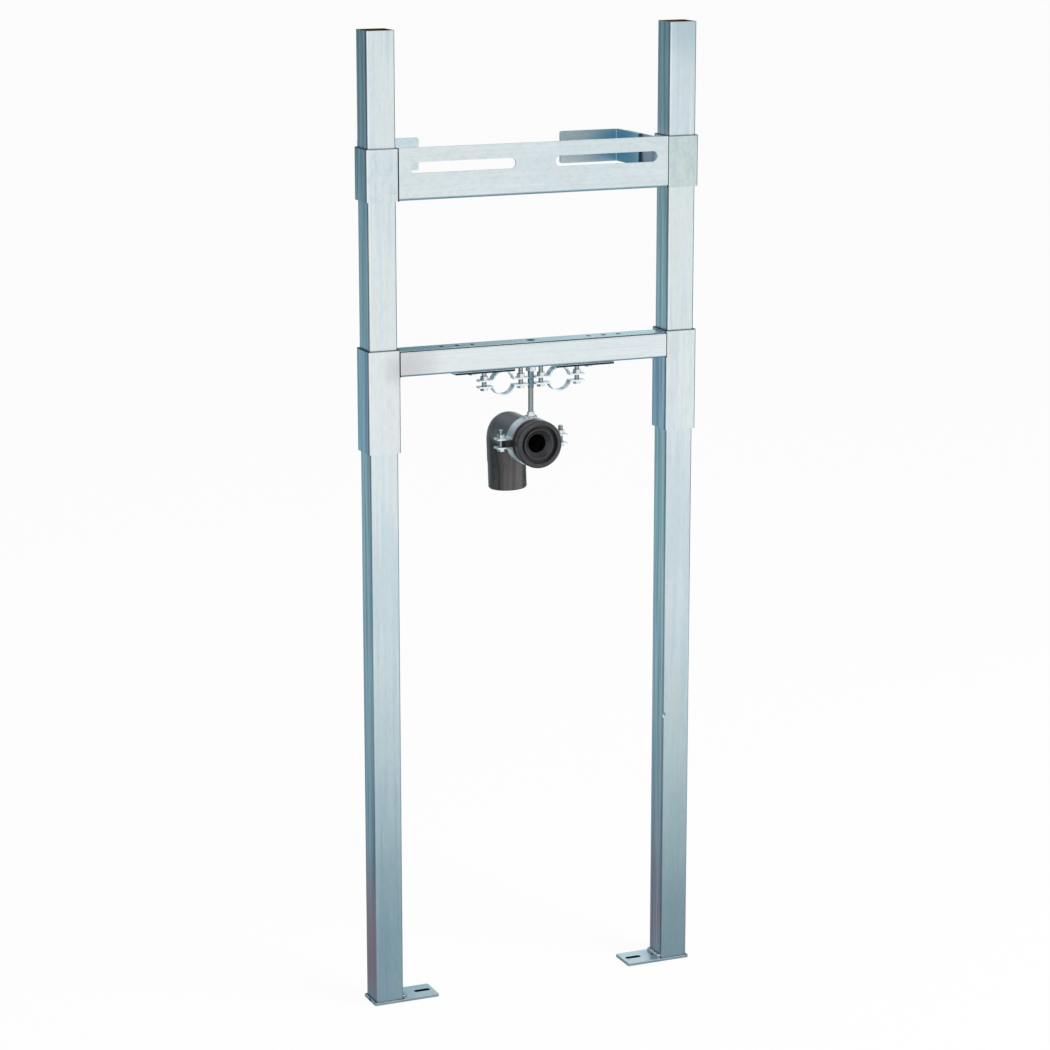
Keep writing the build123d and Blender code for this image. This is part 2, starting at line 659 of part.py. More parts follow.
# Waste elbow: level leg with a collar at the front, and a leg that drops behind the frame.
# The bend between them is round outside and meets in a sharp crotch inside. The dropped leg ends in a spigot.
elbow_plane = Plane(
    origin=(middle, 0, clamp_axis_height), x_dir=(0, 1, 0), z_dir=Vector(1, 0, 0).rotate(Axis.Y, -elbow_turn)
)
across = elbow_plane.z_dir
elbow_mouth = Plane(origin=(middle, elbow_front, clamp_axis_height), x_dir=across, z_dir=(0, 1, 0))
bend_mouth = Plane(origin=(middle, bend_start, clamp_axis_height), x_dir=across, z_dir=(0, 1, 0))
drop_start = elbow_plane.from_local_coords((elbow_axis_y, -elbow_bend, 0))
drop_mouth = Plane(origin=drop_start, x_dir=across, z_dir=-elbow_plane.y_dir)
drop_end = elbow_plane.from_local_coords((elbow_axis_y, -elbow_drop, 0))
spigot_end = Plane(origin=drop_end, x_dir=across, z_dir=elbow_plane.y_dir)
bend_axis = Axis(elbow_plane.from_local_coords((bend_start, -elbow_bend, 0)), -across)
with BuildPart() as waste_elbow:
    for pipe_r, mode in ((pipe_diameter / 2, Mode.ADD), (pipe_bore / 2, Mode.SUBTRACT)):
        with BuildSketch(elbow_mouth):
            Circle(pipe_r)
        extrude(amount=bend_start - elbow_front, mode=mode)
        with BuildSketch(drop_mouth):
            Circle(pipe_r)
        extrude(amount=elbow_drop - elbow_bend, mode=mode)
        with BuildSketch(bend_mouth):
            Circle(pipe_r)
            with Locations((0, (elbow_bend - pipe_r) / 2)):
                Rectangle(2 * pipe_r, pipe_r + elbow_bend, mode=Mode.INTERSECT)
        revolve(axis=bend_axis, revolution_arc=elbow_quarter, mode=mode)
    with BuildSketch(spigot_end):
        Circle(pipe_diameter / 2 + pipe_wall)
        Circle(spigot_diameter / 2, mode=Mode.SUBTRACT)
    extrude(amount=spigot_length, mode=Mode.SUBTRACT)
    outlet = waste_elbow.faces().sort_by(Axis.Z)[0]
    chamfer(outlet.edges().sort_by(SortBy.LENGTH)[-1], length=outlet_chamfer)
    with BuildSketch(elbow_mouth):
        Circle(collar_diameter / 2)
        Circle(pipe_bore / 2 + pipe_wall / 2, mode=Mode.SUBTRACT)
    extrude(amount=collar_length)
waste_elbow.part.label = "waste_elbow"
export_step(waste_elbow.part, "parts/waste_elbow.step")

# Rubber seal: flange with a deep groove, a funnel lip round the hole and a skirt inside the elbow
flange_r = seal_flange_diameter / 2
recess_r = seal_recess_diameter / 2
crest_r = seal_crest_diameter / 2
skirt_r = pipe_bore / 2
inner_r = skirt_r - seal_wall
hole_r = seal_hole / 2
lip_back = seal_lip_depth + seal_lip_thickness
seal_plane = Plane(origin=(middle, seal_front, clamp_axis_height), x_dir=(0, 1, 0), z_dir=(1, 0, 0))
with BuildPart() as elbow_seal:
    with BuildSketch(seal_plane) as seal_section:
        with BuildLine():
            Polyline(
                (0, flange_r),
                (0, recess_r),
                (seal_recess_depth, recess_r),
                (seal_recess_depth, crest_r),
                (seal_crest_depth, crest_r),
                (seal_crest_depth, crest_r - seal_crest_width),
                (seal_lip_depth, hole_r),
                (lip_back, hole_r),
                (lip_back, inner_r),
                (seal_flange_thickness + seal_length, inner_r),
                (seal_flange_thickness + seal_length, skirt_r),
                (seal_flange_thickness, skirt_r),
                (seal_flange_thickness, flange_r),
                close=True,
            )
        make_face()
        for rim_r, rounding in ((flange_r, seal_rim), (recess_r, seal_edge)):
            rim = seal_section.vertices().sort_by_distance((0, rim_r, 0))[0]
            fillet(rim, radius=rounding)
    revolve(axis=Axis((middle, 0, clamp_axis_height), (0, 1, 0)))
elbow_seal.part.label = "elbow_seal"
export_step(elbow_seal.part, "parts/elbow_seal.step")
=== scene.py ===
"""Looks of the basin installation frame: its finishes, weld ripples, threads, studio and camera."""

import logging
import math
from dataclasses import dataclass, field
from enum import Enum

import bpy
from mathutils import Matrix, Vector


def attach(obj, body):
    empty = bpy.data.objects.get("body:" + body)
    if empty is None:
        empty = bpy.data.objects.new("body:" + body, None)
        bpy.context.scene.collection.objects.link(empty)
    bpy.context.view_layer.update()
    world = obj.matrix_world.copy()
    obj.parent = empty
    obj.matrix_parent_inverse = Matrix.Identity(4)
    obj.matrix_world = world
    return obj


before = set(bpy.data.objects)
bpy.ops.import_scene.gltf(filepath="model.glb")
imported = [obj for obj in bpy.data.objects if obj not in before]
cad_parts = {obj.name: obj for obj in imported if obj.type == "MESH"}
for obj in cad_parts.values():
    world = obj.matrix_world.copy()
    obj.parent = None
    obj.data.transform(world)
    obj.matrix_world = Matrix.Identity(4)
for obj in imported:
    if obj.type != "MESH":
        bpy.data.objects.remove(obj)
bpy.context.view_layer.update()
LOG = logging.getLogger("basin_frame")
Tree = bpy.types.NodeTree
Socket = bpy.types.NodeSocket
Material = bpy.types.Material
Span = tuple[float, float]
Point = tuple[float, float, float]
Colour = tuple[float, float, float, float]
Stops = tuple[tuple[float, str], ...]
MM = 0.001
# Share of the pitch that a thread's ridge stands up, and the faces round its helix and its profile.
RIDGE_SHARE = 0.36
RIDGE_STEPS = 14
RIDGE_SIDES = 4
# Depth of the dents in a weld ripple, in its radii, how close they lie, and the seed of the ripples' sizes.
DENT_DEPTH = 0.14
DENT_SCALE = 1.7
RIPPLE_SEED = 7


def metres(size_mm: Point) -> Point:
    """Turns a size or a place in millimetres into the metres that Blender works in."""
    return (size_mm[0] * MM, size_mm[1] * MM, size_mm[2] * MM)


def linear(shade: str) -> Colour:
    """Turns an sRGB hex value into the linear colour that a socket takes.

    Args:
        shade: Colour as #RRGGBB.

    Returns:
        Linear red, green and blue, and an alpha of one.
    """
    parts = [int(shade[i:i + 2], 16) / 255 for i in (1, 3, 5)]
    lin = [p / 12.92 if p <= 0.04045 else ((p + 0.055) / 1.055) ** 2.4 for p in parts]
    return (lin[0], lin[1], lin[2], 1.0)


def add(tree: Tree, kind: str, inputs: dict[int | str, object] | None = None,
        stops: Stops = (), **settings: object) -> bpy.types.Node:
    """Adds one node with its settings, and links or sets its inputs.

    Args:
        tree: Tree that takes the node.
        kind: Blender's name for the node.
        inputs: Value, socket or node for each input, by name or number; a node gives its first live output.
        stops: Places and hex colours of a colour ramp.
        settings: Properties of the node.

    Returns:
        The new node.
    """
    node = tree.nodes.new(kind)
    for name, value in settings.items():
        setattr(node, name, value)
    for key, value in (inputs or {}).items():
        if isinstance(value, bpy.types.Node):
            value = next(output for output in value.outputs if output.enabled)
        if isinstance(value, Socket):
            tree.links.new(value, node.inputs[key])
        else:
            node.inputs[key].default_value = value
    for index, (place, shade) in enumerate(stops):
        elements = node.color_ramp.elements
        stop = elements[index] if index < 2 else elements.new(place)
        stop.position = place
        stop.color = linear(shade)
    return node


def blank_material(name: str) -> tuple[Material, Tree]:
    """Makes a material with an empty node tree.

    Args:
        name: Name of the real material and its process.

    Returns:
        The material and its tree.
    """
    made = bpy.data.materials.new(name)
    made.use_nodes = True
    made.node_tree.nodes.clear()
    return made, made.node_tree


class Grain(Enum):
    """Direction in which a strip or tube was drawn."""

    ALONG_X = 0
    ALONG_Y = 1
    ALONG_Z = 2


@dataclass(frozen=True)
class ZincPlate:
    """Zinc-plated steel with a clear blue passivation.

    Drawn lines and soft stripes run along the tube, blotches and clouds dull the plating, thin-film bands
    shift the pale blue-grey towards teal, straw and pink, and a weld's heat leaves a soft cloud round it.
    """

    name: str
    grain: Grain
    body: str = "#F0F6F8"
    teal: str = "#B9DCE0"
    blue: str = "#CBDCE7"
    straw: str = "#F3F0E2"
    pink: str = "#EAE5E7"
    edge: str = "#C6D8DE"
    dirt: str = "#B7C6C9"
    roughness: float = 0.34
    line_mm: float = 2.0
    line_run: float = 90.0
    stripe_mm: float = 7.0
    stripe_run: float = 45.0
    stripe_share: float = 0.42
    blotch_mm: float = 5.0
    smear: float = 3.0
    cloud_mm: float = 60.0
    band_mm: float = 260.0
    tint: float = 0.26
    mottle: float = 0.14
    mirror: float = 1.0
    heat_at_mm: tuple[Point, ...] = ()
    heat_core_mm: float = 4.0
    heat_mm: float = 30.0
    heat: float = 0.4
    oxide: str = "#AEBBD8"
    # Keeps the cloud to the flanks, where it is a painted reflection tint.
    paint_tint_on_flanks_only: bool = False
    # Painted light on the flanks: a reflection tint, reflection bands, and painted shade near the front
    # corner.
    flank: str = "#FFFFFF"
    painted_flank_bands: Span = (0.76, 1.2)
    corner_mm: float | None = None
    painted_corner_shade_mm: Span = (3.0, 6.5)
    painted_corner_shade: float = 0.62

    def facing(self, tree: Tree, axis: str) -> Socket:
        """Gives how squarely a face looks along an axis, either way.

        Args:
            tree: Tree of the material.
            axis: Axis that is looked along.

        Returns:
            Socket that is one on faces square to the axis and zero on faces along it.
        """
        normal = add(tree, "ShaderNodeSeparateXYZ", {0: add(tree, "ShaderNodeTexCoord").outputs["Normal"]})
        return add(tree, "ShaderNodeMath", {0: normal.outputs[axis]}, operation="ABSOLUTE").outputs[0]

    def sides(self, tree: Tree) -> Socket:
        """Gives one on the faces that look left or right.

        Args:
            tree: Tree of the material.

        Returns:
            Socket that is one on the flanks and zero elsewhere.
        """
        return add(tree, "ShaderNodeMapRange", {"Value": self.facing(tree, "X"), "From Min": 0.6,
                                                "From Max": 0.9}).outputs[0]

    def apart(self, tree: Tree, place: Socket, centre_mm: Point) -> Socket:
        """Gives how far a point is from a centre along each axis, either way.

        Args:
            tree: Tree of the material.
            place: Object coordinates.
            centre_mm: Centre to measure from.

        Returns:
            Socket with the three distances, in metres.
        """
        moved = add(tree, "ShaderNodeVectorMath", {0: place, 1: metres(centre_mm)}, operation="SUBTRACT")
        return add(tree, "ShaderNodeVectorMath", {0: moved}, operation="ABSOLUTE").outputs[0]

    def flanks(self, tree: Tree, place: Socket, stripes: Socket, plated: Socket) -> Socket:
        """Paints reflection bands onto the flanks of the tube, and painted shade on them near the front
        corner.

        Args:
            tree: Tree of the material.
            place: Object coordinates.
            stripes: Noise that runs along the tube.
            plated: Colour of the plating.

        Returns:
            Colour with the painted reflections and shade on the flanks.
        """
        split = add(tree, "ShaderNodeSeparateXYZ", {0: place})
        # Painted shade: the flanks darken towards the front corner.
        start, end = ((self.corner_mm + reach) * MM for reach in self.painted_corner_shade_mm)
        painted_corner_shade = add(tree, "ShaderNodeMapRange", {"Value": split.outputs["Y"], "From Min": start,
                                               "From Max": end, "To Min": self.painted_corner_shade, "To Max": 1.0},
                  interpolation_type="SMOOTHSTEP")
        # Painted reflection bands across the flanks.
        lines = add(tree, "ShaderNodeMapRange", {"Value": stripes, "From Min": 0.35, "From Max": 0.65,
                                                 "To Min": self.painted_flank_bands[0],
                                                 "To Max": self.painted_flank_bands[1]})
        value = add(tree, "ShaderNodeMath", {0: painted_corner_shade, 1: lines}, operation="MULTIPLY")
        # Painted reflection tint of the flanks.
        film = add(tree, "ShaderNodeVectorMath", {0: linear(self.flank)[:3], "Scale": value},
                   operation="SCALE")
        side = add(tree, "ShaderNodeVectorMath", {0: plated, 1: film}, operation="MULTIPLY")
        return add(tree, "ShaderNodeMix", {0: self.sides(tree), 6: plated, 7: side},
                   data_type="RGBA").outputs[2]

    def pattern(self, tree: Tree, place: Socket, size_mm: float, longer: float, detail: float) -> Socket:
        """Adds a noise that is stretched along the grain.

        Args:
            tree: Tree of the material.
            place: Object coordinates.
            size_mm: Width of the pattern across the grain.
            longer: How many times longer it is along the grain.
            detail: Finer levels of the noise.

        Returns:
            Socket of the noise, about 0.3 to 0.7.
        """
        scale = [1000 / size_mm] * 3
        scale[self.grain.value] /= longer
        laid = add(tree, "ShaderNodeMapping", {"Vector": place, "Scale": scale})
        noise = add(tree, "ShaderNodeTexNoise", {"Vector": laid, "Scale": 1.0, "Detail": detail,
                                                 "Roughness": 0.6})
        return noise.outputs["Fac"]

    def marks(self, tree: Tree, place: Socket, plated: Socket) -> tuple[Socket, Socket | float]:
        """Tints the plating round each listed spot, which near a weld is heat tint; other finishes add their
        own marks here.

        Args:
            tree: Tree of the material.
            place: Object coordinates.
            plated: Colour of the plating.

        Returns:
            Colour with its marks, and how far the surface mirrors as metal.
        """
        for spot in self.heat_at_mm:
            reach = add(tree, "ShaderNodeVectorMath", {0: place, 1: metres(spot)}, operation="DISTANCE")
            warmth = add(tree, "ShaderNodeMapRange", {"Value": reach, "From Min": self.heat_core_mm * MM,
                                                      "From Max": self.heat_mm * MM, "To Min": self.heat,
                                                      "To Max": 0.0}, interpolation_type="SMOOTHSTEP")
            # Kept to the flanks, the cloud is a painted reflection tint.
            if self.paint_tint_on_flanks_only:
                warmth = add(tree, "ShaderNodeMath", {0: warmth, 1: self.sides(tree)}, operation="MULTIPLY")
            plated = add(tree, "ShaderNodeMix", {0: warmth, 6: plated, 7: linear(self.oxide)},
                         data_type="RGBA").outputs[2]
        return plated, self.mirror

    def material(self) -> Material:
        """Builds the node material.

        Returns:
            The material for this finish.
        """
        made, tree = blank_material(self.name)
        place = add(tree, "ShaderNodeTexCoord").outputs["Object"]
        # Drawn lines: real ones are about 0.2 mm apart, drawn coarser so that they show.
        lines = self.pattern(tree, place, self.line_mm, self.line_run, 3.0)
        stripes = self.pattern(tree, place, self.stripe_mm, self.stripe_run, 2.0)
        blotches = self.pattern(tree, place, self.blotch_mm, self.smear, 4.0)
        clouds = self.pattern(tree, place, self.cloud_mm, 2.5, 5.0)
        bands = self.pattern(tree, place, self.band_mm, 1.6, 2.0)
        # Thin-film hues: broad bands of the passivation, broken into stripes along the grain.
        share = add(tree, "ShaderNodeMix", {0: self.stripe_share, 2: bands, 3: stripes})
        hues = add(tree, "ShaderNodeValToRGB", {"Fac": share},
                   stops=((0.34, self.teal), (0.68, self.pink), (0.43, self.blue), (0.50, self.body),
                          (0.58, self.straw)))
        tinted = add(tree, "ShaderNodeMix", {0: self.tint, 6: linear(self.body), 7: hues}, data_type="RGBA")
        dull = add(tree, "ShaderNodeMapRange", {"Value": blotches, "From Min": 0.46, "From Max": 0.68,
                                                "To Max": self.mottle})
        soiled = add(tree, "ShaderNodeMix", {0: dull, 6: tinted, 7: linear(self.dirt)}, data_type="RGBA")
        shade = add(tree, "ShaderNodeMapRange", {"Value": clouds, "From Min": 0.3, "From Max": 0.7,
                                                 "To Min": 0.95, "To Max": 1.03})
        streak = add(tree, "ShaderNodeMapRange", {"Value": lines, "From Min": 0.3, "From Max": 0.7,
                                                  "To Min": 0.965, "To Max": 1.025})
        value = add(tree, "ShaderNodeMath", {0: shade, 1: streak}, operation="MULTIPLY")
        plated = add(tree, "ShaderNodeVectorMath", {0: soiled, "Scale": value},
                     operation="SCALE").outputs[0]
        # Painted reflection bands and painted shade on the flanks.
        if self.corner_mm is not None:
            plated = self.flanks(tree, place, stripes, plated)
        colour, bare = self.marks(tree, place, plated)
        gloss = add(tree, "ShaderNodeMapRange", {"Value": clouds, "From Min": 0.25, "From Max": 0.75,
                                                 "To Min": self.roughness - 0.05,
                                                 "To Max": self.roughness + 0.07})
        relief = add(tree, "ShaderNodeBump", {"Height": lines, "Strength": 0.1, "Distance": 0.08 * MM})
        metal = add(tree, "ShaderNodeBsdfPrincipled", {"Base Color": colour, "Metallic": bare,
                                                       "Roughness": gloss, "Normal": relief,
                                                       "Specular Tint": linear(self.edge)})
        add(tree, "ShaderNodeOutputMaterial", {"Surface": metal})
        return made


@dataclass(frozen=True)
class SawnTube(ZincPlate):
    """Zinc-plated tube, sawn off: the bore stays bare and brown, and the sawn rim is dull and warm."""

    axis_mm: float = 0.0
    bore_half_mm: float = 18.5
    rim_mm: float = 1346.6
    rust: str = "#4B3626"
    deep_rust: str = "#2E2119"
    rust_mm: float = 12.0
    sawn: str = "#A3957F"

    def marks(self, tree: Tree, place: Socket, plated: Socket) -> tuple[Socket, Socket | float]:
        """Paints the sawn rim and the rusty bore.

        Args:
            tree: Tree of the material.
            place: Object coordinates.
            plated: Colour of the plating.

        Returns:
            Colour with the rim and the bore, and zero for bare metal inside the bore.
        """
        plated, _ = super().marks(tree, place, plated)
        split = add(tree, "ShaderNodeSeparateXYZ", {0: self.apart(tree, place, (self.axis_mm, 0.0, 0.0))})
        out = add(tree, "ShaderNodeMath", {0: split.outputs["X"], 1: split.outputs["Y"]}, operation="MAXIMUM")
        outside = add(tree, "ShaderNodeMath", {0: out, 1: self.bore_half_mm * MM}, operation="GREATER_THAN")
        top = add(tree, "ShaderNodeMath", {0: split.outputs["Z"], 1: self.rim_mm * MM},
                  operation="GREATER_THAN")
        rim = add(tree, "ShaderNodeMix", {0: top, 6: plated, 7: linear(self.sawn)}, data_type="RGBA")
        patches = self.pattern(tree, place, self.rust_mm, 2.0, 5.0)
        brown = add(tree, "ShaderNodeValToRGB", {"Fac": patches},
                    stops=((0.3, self.deep_rust), (0.7, self.rust)))
        colour = add(tree, "ShaderNodeMix", {0: outside, 6: brown, 7: rim}, data_type="RGBA")
        return colour.outputs[2], outside.outputs[0]


@dataclass(frozen=True)
class PaintedShadowStrip(ZincPlate):
    """Zinc-plated strip: below a set height its front and back edges are painted dark blue, as painted shadow
    under the bar.
    """

    painted_edge_shadow: str = "#1B3442"
    painted_shadow_top_mm: float = 886.5

    def marks(self, tree: Tree, place: Socket, plated: Socket) -> tuple[Socket, Socket | float]:
        """Paints shadow on the faces that look to the front and the back, below a set height.

        Args:
            tree: Tree of the material.
            place: Object coordinates.
            plated: Colour of the plating.

        Returns:
            Colour with the painted edge shadow, and a surface that is metal throughout.
        """
        plated, mirror = super().marks(tree, place, plated)
        # Painted shadow: faces that look to the front and the back go dark blue below a set height.
        front_or_back_faces = add(tree, "ShaderNodeMapRange", {"Value": self.facing(tree, "Y"), "From Min": 0.5,
                                                   "From Max": 0.8})
        height = add(tree, "ShaderNodeSeparateXYZ", {0: place})
        below_shadow_top = add(tree, "ShaderNodeMath", {0: height.outputs["Z"], 1: self.painted_shadow_top_mm * MM},
                     operation="LESS_THAN")
        dark = add(tree, "ShaderNodeMath", {0: front_or_back_faces, 1: below_shadow_top}, operation="MULTIPLY")
        shadowed = add(tree, "ShaderNodeMix", {0: dark, 6: plated, 7: linear(self.painted_edge_shadow)}, data_type="RGBA")
        return shadowed.outputs[2], mirror


@dataclass(frozen=True)
class CutEnd(ZincPlate):
    """Zinc-plated piece with a thin dark line along one end."""

    axis: str = "Z"
    from_mm: float = 0.0
    to_mm: float = 0.0
    dark_end_line: str = "#26343B"
    depth: float = 0.85

    def marks(self, tree: Tree, place: Socket, plated: Socket) -> tuple[Socket, Socket | float]:
        """Draws the thin dark line along the end.

        Args:
            tree: Tree of the material.
            place: Object coordinates.
            plated: Colour of the plating.

        Returns:
            Colour with the line, and how far the surface mirrors as metal.
        """
        plated, mirror = super().marks(tree, place, plated)
        split = add(tree, "ShaderNodeSeparateXYZ", {0: place})
        # A thin dark line along the end.
        dark_end_line = add(tree, "ShaderNodeMapRange", {"Value": split.outputs[self.axis],
                                                "From Min": self.from_mm * MM, "From Max": self.to_mm * MM,
                                                "To Max": self.depth})
        lined = add(tree, "ShaderNodeMix", {0: dark_end_line, 6: plated, 7: linear(self.dark_end_line)}, data_type="RGBA")
        return lined.outputs[2], mirror


@dataclass(frozen=True)
class HollowBar(ZincPlate):
    """Zinc-plated crossbar tube whose bore and punched-hole walls are painted near black as shade."""

    middle_mm: Point = (220.0, -5.5, 904.5)
    bore_half_mm: float = 15.7
    inside: str = "#151D21"

    def marks(self, tree: Tree, place: Socket, plated: Socket) -> tuple[Socket, Socket | float]:
        """Paints shade on the bore and the walls of the holes.

        Args:
            tree: Tree of the material.
            place: Object coordinates.
            plated: Colour of the plating.

        Returns:
            Colour with the painted bore shade, and how far the surface mirrors as metal.
        """
        plated, mirror = super().marks(tree, place, plated)
        apart = add(tree, "ShaderNodeSeparateXYZ", {0: self.apart(tree, place, self.middle_mm)})
        out = add(tree, "ShaderNodeMath", {0: apart.outputs["Y"], 1: apart.outputs["Z"]}, operation="MAXIMUM")
        bore = add(tree, "ShaderNodeMath", {0: out, 1: self.bore_half_mm * MM}, operation="LESS_THAN")
        upright = add(tree, "ShaderNodeMath", {0: self.facing(tree, "Z"), 1: 0.5}, operation="LESS_THAN")
        within = add(tree, "ShaderNodeMath", {0: apart.outputs["Y"], 1: (self.bore_half_mm - 1.0) * MM},
                     operation="LESS_THAN")
        wall = add(tree, "ShaderNodeMath", {0: upright, 1: within}, operation="MULTIPLY")
        dark = add(tree, "ShaderNodeMath", {0: bore, 1: wall}, operation="MAXIMUM")
        # Painted shade: the bore and the walls of the holes go near black.
        colour = add(tree, "ShaderNodeMix", {0: dark, 6: plated, 7: linear(self.inside)}, data_type="RGBA")
        return colour.outputs[2], mirror


@dataclass(frozen=True)
class FootPlate(ZincPlate):
    """Zinc-plated foot plate: a painted navy shade line round the tube's foot, and painted shade on the
    slot's walls.
    """

    spacing_mm: float = 440.0
    tube_half_mm: float = 20.0
    line_width_mm: float = 1.9
    line_fade_mm: float = 0.8
    slot_half_mm: float = 4.3
    slot_end_mm: float = 69.0
    painted_foot_shade: str = "#1D3448"
    shadow: str = "#26393F"

    def marks(self, tree: Tree, place: Socket, plated: Socket) -> tuple[Socket, Socket | float]:
        """Paints a shade line at the tube's foot and shade on the slot's walls.

        Args:
            tree: Tree of the material.
            place: Object coordinates.
            plated: Colour of the plating.

        Returns:
            Colour with the line and the slot, and how far the surface mirrors as metal.
        """
        plated, mirror = super().marks(tree, place, plated)
        # Both feet fold onto one, measured from the nearer upright's axis.
        half = (self.spacing_mm / 2, 0.0, 0.0)
        fold = self.apart(tree, self.apart(tree, place, half), half)
        apart = add(tree, "ShaderNodeSeparateXYZ", {0: fold})
        out = add(tree, "ShaderNodeMath", {0: apart.outputs["X"], 1: apart.outputs["Y"]}, operation="MAXIMUM")
        # Painted shade: a navy line round the tube's foot, where it meets the plate.
        rim_mm = self.tube_half_mm + self.line_width_mm
        near = add(tree, "ShaderNodeMapRange", {"Value": out, "From Min": (rim_mm - self.line_fade_mm) * MM,
                                                "From Max": rim_mm * MM, "To Min": 0.9, "To Max": 0.0})
        lined = add(tree, "ShaderNodeMix", {0: near, 6: plated, 7: linear(self.painted_foot_shade)}, data_type="RGBA")
        wall = add(tree, "ShaderNodeMath", {0: self.facing(tree, "Z"), 1: 0.5}, operation="LESS_THAN")
        within = add(tree, "ShaderNodeMath", {0: apart.outputs["Y"], 1: self.slot_half_mm * MM},
                     operation="LESS_THAN")
        inside = add(tree, "ShaderNodeMath", {0: apart.outputs["X"], 1: self.slot_end_mm * MM},
                     operation="LESS_THAN")
        both = add(tree, "ShaderNodeMath", {0: within, 1: inside}, operation="MULTIPLY")
        slot = add(tree, "ShaderNodeMath", {0: both, 1: wall}, operation="MULTIPLY")
        shaded = add(tree, "ShaderNodeMix", {0: slot, 6: lined, 7: linear(self.shadow)}, data_type="RGBA")
        return shaded.outputs[2], mirror


@dataclass(frozen=True)
class GrooveShadowStrip:
    """Painted shadow: a dark, matt, grainy strip laid in a groove where a crossbar meets a sleeve."""

    name: str = "painted_groove_shadow"
    body: str = "#151E23"
    pale: str = "#33434B"
    grain_mm: float = 3.0

    def material(self) -> Material:
        """Builds the node material.

        Returns:
            The material for the painted groove shadows.
        """
        made, tree = blank_material(self.name)
        place = add(tree, "ShaderNodeTexCoord").outputs["Object"]
        grain = add(tree, "ShaderNodeTexNoise", {"Vector": place, "Scale": 1000 / self.grain_mm,
                                                 "Detail": 4.0})
        shade = add(tree, "ShaderNodeValToRGB", {"Fac": grain},
                    stops=((0.35, self.body), (0.75, self.pale)))
        rough = add(tree, "ShaderNodeMapRange", {"Value": grain, "To Min": 0.5, "To Max": 0.8})
        root = add(tree, "ShaderNodeBsdfPrincipled", {"Base Color": shade, "Metallic": 0.5,
                                                      "Roughness": rough})
        add(tree, "ShaderNodeOutputMaterial", {"Surface": root})
        return made


@dataclass(frozen=True)
class BlackPolyethylene:
    """Black polyethylene pipe, extruded and hot bent.

    A satin skin with light scuffs, and painted sheen: pale streaks along the leg, paler grey over the bend.
    """

    name: str = "black_polyethylene_extruded"
    body: str = "#282727"
    wear_and_sheen: str = "#5C5A5B"
    painted_bend_sheen: str = "#625F62"
    bend_mm: Span = (768.0, 800.0)
    sheen: str = "#FFF3EC"
    ior: float = 1.6
    roughness: float = 0.31
    line_mm: float = 2.4
    line_run: float = 40.0
    streak_mm: float = 9.0
    streak_run: float = 25.0
    scuff_mm: float = 14.0

    def material(self) -> Material:
        """Builds the node material.

        Returns:
            The material for the elbow.
        """
        made, tree = blank_material(self.name)
        place = add(tree, "ShaderNodeTexCoord").outputs["Object"]
        fine = 1000 / self.line_mm
        upright = add(tree, "ShaderNodeMapping", {"Vector": place,
                                                  "Scale": (fine, fine, fine / self.line_run)})
        lines = add(tree, "ShaderNodeTexNoise", {"Vector": upright, "Scale": 1.0, "Detail": 3.0})
        scuffs = add(tree, "ShaderNodeTexNoise", {"Vector": place, "Scale": 1000 / self.scuff_mm,
                                                  "Detail": 3.0, "Roughness": 0.6})
        wide = 1000 / self.streak_mm
        drawn = add(tree, "ShaderNodeMapping", {"Vector": place,
                                                "Scale": (wide, wide, wide / self.streak_run)})
        streaks = add(tree, "ShaderNodeTexNoise", {"Vector": drawn, "Scale": 1.0, "Detail": 2.0})
        # Pale streaks along the leg are painted sheen, mixed with light scuffs of wear.
        mixed = add(tree, "ShaderNodeMix", {0: 0.2, 2: streaks, 3: scuffs})
        sheen_and_scuffs = add(tree, "ShaderNodeMapRange", {"Value": mixed, "From Min": 0.4, "From Max": 0.64,
                                                  "To Min": 0.0, "To Max": 0.9})
        skin = add(tree, "ShaderNodeMix", {0: sheen_and_scuffs, 6: linear(self.body), 7: linear(self.wear_and_sheen)},
                   data_type="RGBA")
        # Painted sheen: the pipe goes paler grey from the bend upwards.
        height = add(tree, "ShaderNodeSeparateXYZ", {0: place})
        sheen_share = add(tree, "ShaderNodeMapRange", {"Value": height.outputs["Z"],
                                                  "From Min": self.bend_mm[0] * MM,
                                                  "From Max": self.bend_mm[1] * MM, "To Max": 0.75},
                     interpolation_type="SMOOTHSTEP")
        sheened = add(tree, "ShaderNodeMix", {0: sheen_share, 6: skin, 7: linear(self.painted_bend_sheen)},
                     data_type="RGBA")
        gloss = add(tree, "ShaderNodeMapRange", {"Value": scuffs, "From Min": 0.3, "From Max": 0.7,
                                                 "To Min": self.roughness - 0.06,
                                                 "To Max": self.roughness + 0.10})
        relief = add(tree, "ShaderNodeBump", {"Height": lines, "Strength": 0.15, "Distance": 0.12 * MM})
        plastic = add(tree, "ShaderNodeBsdfPrincipled", {"Base Color": sheened, "IOR": self.ior,
                                                         "Specular Tint": linear(self.sheen),
                                                         "Roughness": gloss,
                                                         "Normal": relief})
        add(tree, "ShaderNodeOutputMaterial", {"Surface": plastic})
        return made


